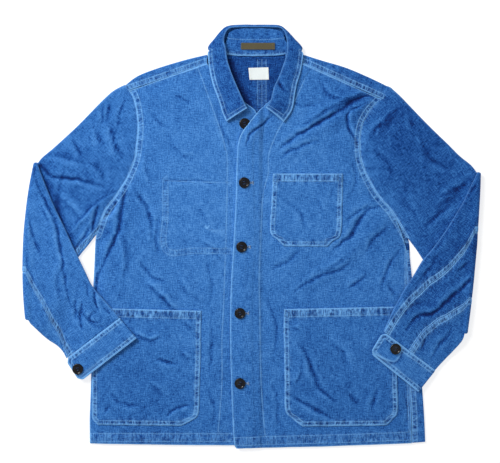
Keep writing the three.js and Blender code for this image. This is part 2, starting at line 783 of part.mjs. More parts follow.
function layPatch(name, rows, nu, nv, thickness, look, reach) {
  const under = laid.rest(reach, 0);
  layPanel(name, rows, nu, nv, (x, y) => under(x, y) + seamGap, thickness, look);
}
const pocketThickness = (u, v) => mix(wall, hemWall, ease(0.9, 0.94, v));
layPatch("hip_pocket_left", hipLeftRows, 9, 10, pocketThickness, denim, 12);
layPatch("hip_pocket_right", hipRightRows, 9, 10, pocketThickness, denim, 12);
layPatch("chest_pocket", chestRows, 6, 8, pocketThickness, denim, 8);
layPatch("label_patch", labelRows, 2, 2, () => labelWall, whiteTape, 4);

// Collar

const underStand = laid.rest(5, 12);
const standGrid = gridOf(30, 3, (u, v) => {
  const [nx, ny, rx, ry, nz, rz] = rowAt(standRows, u);
  const x = mix(nx, rx, v);
  const y = mix(ny, ry, v);
  const front = Math.max(ease(0.28, 0.18, u), ease(0.72, 0.82, u));
  const free = mix(nz, rz, v);
  const lying = underStand(x, y) + wall / 2 + mix(nz, rz, v);
  const behind = Math.max(free, underStand(x, y) + wall / 2 + 0.5);
  return [x, y, mix(behind, lying, front)];
});
const standTop = offsetGrid(standGrid, wall / 2);
const standUnder = offsetGrid(standGrid, -wall / 2);
addPiece("collar_stand", shell(standTop, standUnder), denimDark, [standTop, standUnder]);
layPatch("label_tape", tapeRows, 6, 2, () => labelWall, brownTape, 4);

const underLeaf = laid.rest(5, 14);
const leafGrid = gridOf(36, 8, (u, v) => {
  const row = rowAt(leafRows, u);
  const behind = clamp(row[0], 0, 1);
  const point = (k) => row.slice(1 + 3 * k, 4 + 3 * k);
  const a = blend(point(0), point(1), v);
  const b = blend(point(1), point(2), v);
  const c = blend(point(2), point(3), v);
  const p = blend(blend(a, b, v), blend(b, c, v), v);
  const lying = underLeaf(p[0], p[1]) + wall / 2 + p[2];
  return [p[0], p[1], mix(lying, p[2] + wall / 2, behind)];
});
const leafTop = offsetGrid(leafGrid, wall / 2);
const leafUnder = offsetGrid(leafGrid, -wall / 2);
addPiece("collar_leaf", shell(leafTop, leafUnder), denim, [leafTop, leafUnder]);

// Sleeves and cuffs

const arcShare = 0.05;
const flatStep = 0.09;

// A point on a flattened tube: q runs 0 to 1 over the front and 1 to 2 over the back.
function tubePoint(section, q, inset) {
  const { a, b, thick } = section;
  const length = Math.hypot(b[0] - a[0], b[1] - a[1]);
  const radius = thick / 2;
  const turn = ((q % 2) + 2) % 2;
  const front = turn <= 1;
  const t = front ? turn : 2 - turn;
  const end = arcShare;
  let along = 0;
  let off = 0;
  if (t < end) {
    const angle = (t / end) * (Math.PI / 2);
    along = radius - (radius - inset) * Math.cos(angle);
    off = (radius - inset) * Math.sin(angle);
  } else if (t > 1 - end) {
    const angle = ((1 - t) / end) * (Math.PI / 2);
    along = length - radius + (radius - inset) * Math.cos(angle);
    off = (radius - inset) * Math.sin(angle);
  } else {
    along = mix(radius, length - radius, (t - end) / (1 - 2 * end));
    off = radius - inset;
  }
  return { along: along / length, off: front ? off : -off };
}

function armholeShift(armhole, t) {
  const count = armhole.length - 1;
  const first = armhole[0];
  const last = armhole[count];
  const dx = last[0] - first[0];
  const dy = last[1] - first[1];
  const share = armhole.map(([x, y]) => ((x - first[0]) * dx + (y - first[1]) * dy) / (dx * dx + dy * dy));
  let k = 0;
  while (k < count - 1 && share[k + 1] < t) k += 1;
  const s = clamp((t - share[k]) / (share[k + 1] - share[k]), 0, 1);
  return [
    mix(armhole[k][0], armhole[k + 1][0], s) - first[0] - dx * t,
    mix(armhole[k][1], armhole[k + 1][1], s) - first[1] - dy * t,
  ];
}

// Turns one table of sections into stations with a direction for the tube's thickness.
function stationsOf(upper, fold, lower, outward, armhole) {
  const list = [];
  const make = (row, angle, kind) => {
    const [ax, ay, bx, by, bow, thick, seamOne, seamTwo] = row;
    const length = Math.hypot(bx - ax, by - ay);
    const out = [((by - ay) / length) * outward, ((ax - bx) / length) * outward];
    const shift = ((ax - upper[0][0]) ** 2 + (ay - upper[0][1]) ** 2) ** 0.5;
    const fade = kind === "upper" ? (1 - ease(0, armFade, shift)) : 0;
    return { a: [ax, ay], b: [bx, by], bow, thick, seamOne, seamTwo, out, angle, kind, fade, armhole };
  };
  for (const row of upper) list.push(make(row, 0, "upper"));
  for (const degrees of foldAngles) list.push(make(fold, degrees, "fold"));
  for (const row of lower) list.push(make(row, 180, "lower"));
  return list;
}

function placeTube(section, q, inset, under) {
  const { along, off } = tubePoint(section, q, inset);
  const { a, b, out, bow, angle, kind, fade, armhole, thick } = section;
  const theta = (angle * Math.PI) / 180;
  let x = mix(a[0], b[0], along) + out[0] * bow * 4 * along * (1 - along);
  let y = mix(a[1], b[1], along) + out[1] * bow * 4 * along * (1 - along);
  if (fade > 0) {
    const [sx, sy] = armholeShift(armhole, clamp(along, 0, 1));
    x += sx * fade;
    y += sy * fade;
  }
  let z = thick / 2;
  if (kind === "fold") {
    x += out[0] * foldRadius * Math.sin(theta);
    y += out[1] * foldRadius * Math.sin(theta);
    z = thick / 2 + foldRadius * (1 - Math.cos(theta));
  } else if (kind === "lower") {
    z = under(x, y) + layerGap + thick / 2;
  }
  x -= out[0] * Math.sin(theta) * off;
  y -= out[1] * Math.sin(theta) * off;
  z += Math.cos(theta) * off;
  if (off !== 0 && kind !== "fold") {
    const visible = kind === "upper" ? off > 0 : off < 0;
    const calm = ease(0, 0.06, along) * ease(0, 0.06, 1 - along) * (1 - fade);
    if (visible) z += foldsAt(sleeveFolds, x, y) * calm * (kind === "lower" || y > -60 ? 1 : 0);
  }
  return [x, y, z];
}

// Stretches of a strip round the tube: flat ones between the rounded edges at 1, 2 and 3.
function stretches(from, to) {
  const list = [];
  let at = from;
  for (const edge of [1, 2, 3]) {
    if (edge - arcShare > from && edge + arcShare < to) {
      list.push([at, edge - arcShare, false], [edge - arcShare, edge + arcShare, true]);
      at = edge + arcShare;
    }
  }
  list.push([at, to, false]);
  return list;
}

function countsRound(from, to) {
  const flat = (a, b) => Math.max(1, Math.round((b - a) / flatStep));
  return stretches(from, to).map(([a, b, round]) => (round ? 4 : flat(a, b)));
}

function placesRound(from, to, counts) {
  const places = [from];
  stretches(from, to).forEach(([a, b], k) => {
    for (let s = 1; s <= counts[k]; s += 1) places.push(mix(a, b, s / counts[k]));
  });
  return places;
}

function buildSleeve(side, upper, fold, lower, outward, armhole, cutter) {
  const stations = stationsOf(upper, fold, lower, outward, armhole);
  const nudge = (section) => {
    if (section !== stations[0]) return section;
    return { ...section, a: [section.a[0] + outward * pastSeam, section.a[1]],
      b: [section.b[0] + outward * inner, section.b[1]] };
  };
  const strip = (part, inset, under) => stations.map((raw) => {
    const section = nudge(raw);
    const places = placesRound(part.from(section), part.to(section), part.counts);
    return places.map((q) => new THREE.Vector3(...placeTube(section, q, inset, under)));
  });
  const gap = 0.0012;
  const under = { from: (s) => s.seamOne + gap, to: (s) => s.seamTwo - gap };
  const top = { from: (s) => s.seamTwo + gap, to: (s) => s.seamOne + 2 - gap };
  for (const part of [under, top]) part.counts = countsRound(part.from(stations[0]), part.to(stations[0]));
  const cut = stations.findIndex((s) => s.kind === "lower");
  const flat = () => 0;
  for (const part of [under, top]) {
    laid.press(strip(part, 0, flat).slice(0, cut - 3));
  }
  const bed = laid.rest(15, 16);
  const strips = [
    [`under_sleeve_${side}`, under, denimDark],
    [`top_sleeve_${side}`, top, denim],
  ];
  for (const [name, part, look] of strips) {
    const outside = strip(part, 0, bed);
    const inside = strip(part, wall, bed);
    addPiece(name, fromSolid(toSolid(shell(outside, inside)).subtract(cutter)), look, [outside]);
  }
  return { bed, parts: [under, top] };
}

function buildCuff(name, corners, bed) {
  const { fold, tab } = corners;
  const thick = 5.2;
  const radius = thick / 2;
  const depth = 5;
  const section = [];
  const arc = 5;
  section.push([1, 1, "flat"], [0.97, 1, "flat"], [0.9, 1, "flat"]);
  for (let k = 1; k <= 5; k += 1) section.push([mix(0.9, 0, k / 5), 1, "flat"]);
  for (let k = 1; k < arc; k += 1) section.push([0, 1, (Math.PI * k) / arc]);
  for (let k = 0; k <= 5; k += 1) section.push([mix(0, 0.95, k / 5), -1, "flat"]);
  const place = (inset) => section.map(([share, side, kind], i) => {
    const line = [];
    for (let j = 0; j <= depth; j += 1) {
      const v = j / depth;
      const near = i <= 1 ? [0.16, 0.05][i] : 0;
      const w = mix(near, 1 - near, v);
      const fx = mix(fold[0], fold[2], w);
      const fy = mix(fold[1], fold[3], w);
      const tx = mix(tab[0], tab[2], w);
      const ty = mix(tab[1], tab[3], w);
      const length = Math.hypot(tx - fx, ty - fy);
      const reach = radius - inset;
      let along = radius;
      let off = side * reach;
      if (kind === "flat") {
        along = mix(radius, length, share);
      } else {
        along = radius - reach * Math.sin(kind);
        off = reach * Math.cos(kind);
      }
      const x = mix(fx, tx, along / length);
      const y = mix(fy, ty, along / length);
      line.push(new THREE.Vector3(x, y, bed(x, y) + layerGap + radius + off));
    }
    return line;
  });
  const outside = place(0);
  const inside = place(wall);
  addPiece(name, shell(outside, inside), denim, [outside]);
}

const rightSleeve = buildSleeve(
  "right", sleeveRightUpper, sleeveRightFold, sleeveRightLower, -1, armholeRight, cutters.sleeveRight,
);
buildCuff("cuff_right", cuffs.cuff_right, rightSleeve.bed);
const leftSleeve = buildSleeve(
  "left", sleeveLeftUpper, sleeveLeftFold, sleeveLeftLower, 1, armholeLeft, cutters.sleeveLeft,
);
buildCuff("cuff_left", cuffs.cuff_left, leftSleeve.bed);

for (const [name, place] of Object.entries(buttonPlaces)) {
  if (name !== "button_1") addButton(name, place);
}

export default jacket;
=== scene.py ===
import math

import bpy
import numpy as np
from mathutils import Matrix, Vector


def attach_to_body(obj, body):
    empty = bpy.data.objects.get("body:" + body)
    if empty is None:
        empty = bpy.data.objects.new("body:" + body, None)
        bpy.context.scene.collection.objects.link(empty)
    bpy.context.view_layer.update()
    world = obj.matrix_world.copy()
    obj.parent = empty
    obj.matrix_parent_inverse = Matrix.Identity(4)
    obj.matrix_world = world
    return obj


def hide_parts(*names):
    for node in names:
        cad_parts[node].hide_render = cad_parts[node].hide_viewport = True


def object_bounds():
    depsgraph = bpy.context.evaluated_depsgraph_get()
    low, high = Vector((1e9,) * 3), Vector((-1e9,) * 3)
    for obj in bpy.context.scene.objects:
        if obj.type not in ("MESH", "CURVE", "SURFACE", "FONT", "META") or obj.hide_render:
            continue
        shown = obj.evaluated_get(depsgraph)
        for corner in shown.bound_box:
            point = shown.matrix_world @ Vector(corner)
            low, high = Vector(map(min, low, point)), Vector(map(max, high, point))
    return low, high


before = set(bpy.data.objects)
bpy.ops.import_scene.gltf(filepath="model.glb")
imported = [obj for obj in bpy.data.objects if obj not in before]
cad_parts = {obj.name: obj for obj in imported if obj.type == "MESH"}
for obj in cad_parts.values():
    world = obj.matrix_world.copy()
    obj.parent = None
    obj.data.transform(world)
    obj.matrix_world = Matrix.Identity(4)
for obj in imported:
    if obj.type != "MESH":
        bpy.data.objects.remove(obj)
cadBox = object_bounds()
print("stage: frame loaded")

# lengths are in millimetres until a mesh is made
cloth = {"wall": 1.2, "hem": 2.2, "layer": 0.4, "seamTop": 4.6, "step": 2.2, "seamIn": 0.25}
tube = {"foldRadius": 4.3, "armFade": 90, "arcShare": 0.05, "step": 3.0, "turns": 14}
wall, seamTop, inner = cloth["wall"], cloth["seamTop"], -cloth["seamIn"]
tableCorner = (-429.3, -396.5)  # where the tables have the CAD box's lower left corner
shift = np.array([cadBox[0][0] * 1000 - tableCorner[0], cadBox[0][1] * 1000 - tableCorner[1], 0.0])

# back, left half: four points a row (x, y each) from side to centre seam, hem first
backLeftRows = [
    [-303, -387.5, -200, -389.5, -90, -390, 12, -391],
    [-304, -345, -200, -346, -90, -348, 12, -350],
    [-302, -290, -200, -290, -90, -290, 13, -290],
    [-300, -213, -200, -213, -90, -213, 14, -213],
    [-298, -119, -200, -119, -90, -119, 15, -119],
    [-295, -53, -200, -53, -90, -53, 16, -53],
    [-291, 6, -200, 6, -90, 6, 17, 6],
    [-275, 49, -190, 52, -85, 60, 18, 66],
    [-259, 70, -180, 78, -80, 94, 18, 104],
    [-232, 114, -170, 122, -75, 138, 18, 148],
    [-219, 148, -160, 160, -75, 178, 19, 190],
    [-215, 178, -160, 192, -78, 212, 19, 226],
    [-213, 208, -160, 224, -80, 246, 19, 262],
    [-216, 237, -160, 254, -82, 278, 19, 294],
    [-224, 264, -165, 288, -82, 312, 19, 322],
    [-234, 284, -174, 314, -84, 340, 19, 341],
]
# back, right half: from centre seam to side
backRightRows = [
    [12, -391, 110, -391, 220, -389, 323, -384.5],
    [12, -350, 110, -348, 220, -344, 322, -338],
    [13, -290, 110, -290, 220, -286, 318, -280],
    [14, -213, 110, -213, 220, -208, 312, -200],
    [15, -119, 110, -119, 220, -119, 304, -119],
    [16, -53, 110, -53, 220, -53, 297, -60],
    [17, 6, 110, 6, 210, 4, 293, -2],
    [18, 66, 100, 60, 200, 52, 265, 45],
    [18, 104, 95, 94, 180, 82, 240, 74],
    [18, 148, 90, 136, 170, 120, 222, 105],
    [19, 190, 90, 176, 155, 158, 205, 142],
    [19, 226, 92, 210, 155, 194, 203, 181],
    [19, 262, 92, 244, 155, 226, 208, 211],
    [19, 294, 94, 278, 165, 256, 222, 237],
    [19, 322, 95, 312, 180, 288, 242, 262],
    [19, 341, 97, 340, 190, 310, 256, 280],
]
# lower front: side, middle and front edge (x, y each), hem first
frontLeftRows = [
    [-303, -387.5, -150, -390, 2, -391],
    [-304, -345, -150, -348, 1, -350],
    [-302, -290, -150, -290, 0, -290],
    [-300, -213, -150, -213, 0, -213],
    [-298, -119, -150, -119, 0, -119],
    [-295, -53, -147, -53, 0, -53],
    [-291, 6, -145, 8, 0, 12],
    [-275, 49, -137, 56, 0, 64],
    [-259, 70, -130, 82, 0, 96],
    [-232, 114, -115, 126, 0, 140],
    [-219, 148, -110, 164, 0, 178],
    [-215, 178, -106, 192, 2, 206],
    [-213, 208, -102, 222, 8, 233],
    [-216, 237, -116, 246, -16, 254],
    [-221, 258, -138, 272, -56, 288],
    [-229, 273.4, -156, 299.9, -84, 325.2],
]
# upper front: button edge, middle and side
frontRightRows = [
    [-28, -396.5, 136, -393, 300, -387],
    [-33, -384, 134, -372, 300, -362],
    [-36, -329, 130, -328, 299, -325],
    [-38, -270, 129, -270, 296, -270],
    [-40, -200, 127, -200, 294, -200],
    [-40, -140, 126, -140, 293, -138],
    [-38, -80, 126, -80, 291, -78],
    [-34, -20, 128, -22, 290, -24],
    [-31, 40, 117, 40, 265, 45],
    [-29, 84, 105, 80, 240, 74],
    [-28, 124, 98, 116, 222, 105],
    [-26, 168, 90, 158, 205, 142],
    [-19, 192, 92, 188, 203, 181],
    [-4, 213, 102, 214, 208, 211],
    [18, 240, 118, 240, 220, 236],
    [56, 276, 142, 266, 232, 250],
    [95, 325.4, 168, 292.4, 243, 257.4],
]
# shoulder strips of the back: fold x y, seam on the front x y
shoulderLeftRows = [
    [-238, 284, -231, 274.8],
    [-214, 302, -208, 282.7],
    [-174, 317.5, -165, 297.6],
    [-124, 332.5, -118, 313.9],
    [-84, 342, -84, 325.7],
]
shoulderRightRows = [
    [260, 280, 246, 258.2],
    [222, 298.5, 212, 273.5],
    [177, 317.5, 170, 292.3],
    [132, 331, 127, 311.6],
    [97, 342, 95, 326],
]
# side strip of the back: fold x y, seam on the front x y
sideRightRows = [
    [326, -384.5, 301, -386.5],
    [324, -338, 300.5, -338],
    [320, -280, 297, -280],
    [314, -200, 294.5, -200],
    [306, -119, 293, -119],
    [299.5, -62, 291, -62],
    [296, -26, 290.5, -26],
]
# armhole seams from shoulder to underarm
armholeLeft = [
    [-236, 284], [-222, 262], [-216, 237], [-213, 208], [-215, 178],
    [-219, 148], [-232, 114], [-244, 92], [-259, 70], [-275, 49], [-291, 6],
]
armholeRight = [
    [257, 281], [241, 257], [221, 234.5], [208, 211], [203, 181],
    [205, 148], [213, 122], [225, 97], [240, 74], [265, 45], [293, -2],
]
# sleeve sections: outer edge x y, underarm edge x y, bow, height, two seams (0-1 front, 1-2 back)
sleeveLeftUpper = [
    [-238, 286, -291, 6, 0, 4.6, 0.93, 1.36],
    [-260, 274, -299, -5, 0, 5.4, 0.93, 1.36],
    [-279, 257, -308, -17, 0, 6.2, 0.93, 1.36],
    [-303, 232.5, -318, -29, 0, 6.4, 0.93, 1.36],
    [-325, 210, -330, -44, 1, 6.4, 0.93, 1.36],
    [-350, 186.5, -346, -62, 2, 6.4, 0.93, 1.35],
    [-374, 165, -368, -86, 5, 6.4, 0.93, 1.34],
    [-393, 149, -394, -116, 9, 6.4, 0.92, 1.33],
]
sleeveLeftFold = [-401, 139, -417, -156, 12, 6.0, 0.91, 1.32]
sleeveLeftLower = [
    [-392, 114, -413, -163, 10, 6.0, 0.90, 1.31],
    [-376, 73, -408, -168, 7, 6.2, 0.88, 1.29],
    [-362, 42, -399, -177, 4, 6.4, 0.87, 1.27],
    [-348, 13, -390, -186, 2, 6.4, 0.86, 1.24],
    [-336, -14, -379, -195, 1, 6.4, 0.85, 1.20],
    [-325, -37, -368, -202, 0, 6.4, 0.84, 1.16],
    [-311, -66, -360, -209, 0, 6.2, 0.83, 1.12],
    [-298, -92, -355, -215, 0, 6.0, 0.82, 1.09],
    [-276, -118, -351, -221, 0, 5.6, 0.81, 1.08],
    [-247, -151, -348, -228, 0, 5.2, 0.80, 1.07],
]
sleeveRightUpper = [
    [258, 283, 293, -2, 0, 4.6, 1.24, 1.62],
    [279, 264, 300, -12, 0, 5.4, 1.24, 1.62],
    [299, 243, 309, -24, 0, 6.2, 1.24, 1.62],
    [321, 220, 320, -41, 0, 6.4, 1.24, 1.62],
    [343, 198, 331, -58, 1, 6.4, 1.24, 1.62],
    [367, 175, 344, -78, 2, 6.4, 1.24, 1.62],
    [390, 152, 358, -100, 4, 6.4, 1.24, 1.62],
    [411, 135, 375, -134, 4, 6.4, 1.24, 1.62],
]
sleeveRightFold = [422, 121, 397, -181, 4, 6.0, 1.24, 1.62]
sleeveRightLower = [
    [409, 94, 396, -188, 3, 6.0, 1.26, 1.62],
    [396, 66, 393, -195, 2, 6.2, 1.28, 1.63],
    [378, 36, 387, -203, 2, 6.4, 1.31, 1.65],
    [358, 5, 380, -211, 1, 6.4, 1.34, 1.67],
    [338, -22, 373, -219, 0, 6.4, 1.37, 1.70],
    [320, -43, 367, -225, 0, 6.4, 1.40, 1.73],
    [302, -73, 361, -231.5, 0, 6.2, 1.43, 1.77],
    [284, -100, 355, -237.5, 0, 6.0, 1.46, 1.81],
    [264, -137, 349, -244, 0, 5.6, 1.48, 1.85],
    [246, -176, 344, -249.5, 0, 5.2, 1.50, 1.88],
]
# collar stand: neck seam x y, roll x y, height of each
standRows = [
    [-24, 229, -8, 238, 0.5, 2.0],
    [-33, 243, -13, 250, 0.5, 2.4],
    [-46, 264, -22, 268, 0.5, 3.0],
    [-60, 288, -33, 290, 0.5, 3.4],
    [-72, 312, -41, 313, 0.5, 3.6],
    [-79, 331, -46, 334, 0.5, 3.6],
    [-74, 345, -47, 352, 2.0, 6.0],
    [-60, 346, -46, 369, 4.6, 7.4],
    [-44, 342, -42, 382, 4.4, 8.2],
    [-24, 340, -24, 389, 4.2, 8.6],
    [6, 339.5, 6, 390.5, 4.2, 8.6],
    [34, 340, 34, 389.5, 4.2, 8.6],
    [58, 342, 56, 383, 4.4, 8.2],
    [76, 346, 62, 370, 4.6, 7.4],
    [90, 345, 63, 352, 2.0, 6.0],
    [94, 331, 63, 336, 0.5, 3.6],
    [90, 312, 56, 314, 0.5, 3.6],
    [80, 290, 50, 297, 0.5, 3.4],
    [68, 266, 41, 276, 0.5, 3.0],
    [54, 246, 36, 254, 0.5, 2.4],
    [42, 231, 26, 241, 0.5, 2.0],
]
# collar leaf: kind, then roll, two pulls and free edge (x y z each)
leafRows = [
    [0, -9, 239.6, 3.4, -22, 232, 3.6, -35, 224, 1.6, -47.5, 215.8, 0.8],
    [0, -15, 252, 4.2, -29, 245, 4.2, -43, 237, 1.8, -54, 231, 0.8],
    [0, -23, 270, 4.8, -38, 264, 4.6, -52, 259, 2.0, -62, 256, 0.8],
    [0, -33, 293, 5.2, -48, 289, 5.0, -62, 285, 2.2, -72, 283, 0.8],
    [0, -41, 314, 5.4, -54, 312, 5.2, -68, 310, 2.4, -78, 308, 0.8],
    [0, -46.5, 334, 5.6, -58, 332, 5.4, -71, 330, 2.4, -81, 329, 1.0],
    [1, -49, 352, 13.2, -62, 349, 13.6, -76, 346, 12.2, -81.5, 345, 9.4],
    [1, -52, 366, 12.6, -82, 357, 12.4, -90, 353, 6.0, -73, 349, 4.0],
    [1, -50, 378, 12.0, -72, 374, 11.6, -76, 371, 2.4, -57, 352, 1.0],
    [1, -46, 386, 11.4, -56, 393, 10.8, -58, 393, 0.6, -46, 350, 0.8],
    [1, -38, 391, 11.0, -42, 399.5, 10.6, -42, 399.5, 0.2, -38, 349, 0.8],
    [1, -20, 392, 11.0, -20, 400.5, 10.6, -20, 400.5, 0.2, -20, 349, 0.8],
    [1, 6, 392, 11.0, 6, 400.5, 10.6, 6, 400.5, 0.2, 6, 349, 0.8],
    [1, 34, 392, 11.0, 34, 400.5, 10.6, 34, 400.5, 0.2, 34, 349, 0.8],
    [1, 52, 391, 11.0, 52, 399.5, 10.6, 52, 399.5, 0.2, 52, 349, 0.8],
    [1, 60, 385, 11.4, 66, 391, 10.8, 67, 391, 0.6, 60, 350, 0.8],
    [1, 64, 376, 12.0, 84, 372, 11.6, 87, 370, 2.4, 71, 352, 1.0],
    [1, 66, 364, 12.6, 94, 356, 12.4, 103, 353, 6.0, 86, 349, 4.0],
    [1, 66, 351, 13.2, 78, 348, 13.6, 90, 346, 12.2, 95.5, 344, 9.4],
    [0, 64, 336, 5.6, 76, 334, 5.4, 88, 331, 2.4, 94.5, 329, 1.0],
    [0, 57, 315, 5.4, 70, 312, 5.2, 83, 309, 2.4, 90.5, 307, 0.8],
    [0, 50, 297, 5.2, 62, 293, 5.0, 76, 289, 2.2, 84, 286, 0.8],
    [0, 41, 277, 4.8, 55, 272, 4.6, 70, 267, 2.0, 80, 264, 0.8],
    [0, 36, 256, 4.2, 49, 250, 4.2, 64, 243, 1.8, 75, 238, 0.8],
    [0, 26, 241, 3.4, 38, 234, 3.6, 50, 224, 1.6, 59.5, 215, 0.8],
]
# pockets and labels: left x y, right x y, bottom first
hipLeftRows = [
    [-289, -352, -133, -354],
    [-298, -342, -112, -343],
    [-299, -330, -100, -329],
    [-299, -270, -98, -270],
    [-298, -210, -96, -212],
    [-297, -170, -96, -176],
    [-296, -134, -95, -139],
]
hipRightRows = [
    [95, -355, 252, -353],
    [77, -341, 264, -341],
    [63, -323, 273, -325],
    [62, -270, 272, -270],
    [61, -210, 273, -208],
    [60, -172, 274, -168],
    [61, -136, 275, -131],
]
chestRows = [
    [60, -17, 141, -18],
    [48, -5, 152, -7],
    [35, 10, 166, 6],
    [37, 60, 169, 60],
    [39, 102, 170, 102],
    [40, 118, 170, 118],
]
tapeRows = [
    [-20, 351, 43, 351],
    [-20, 363, 43, 363],
]
labelRows = [
    [-4, 295, 32, 295],
    [-6, 317, 31, 318],
]
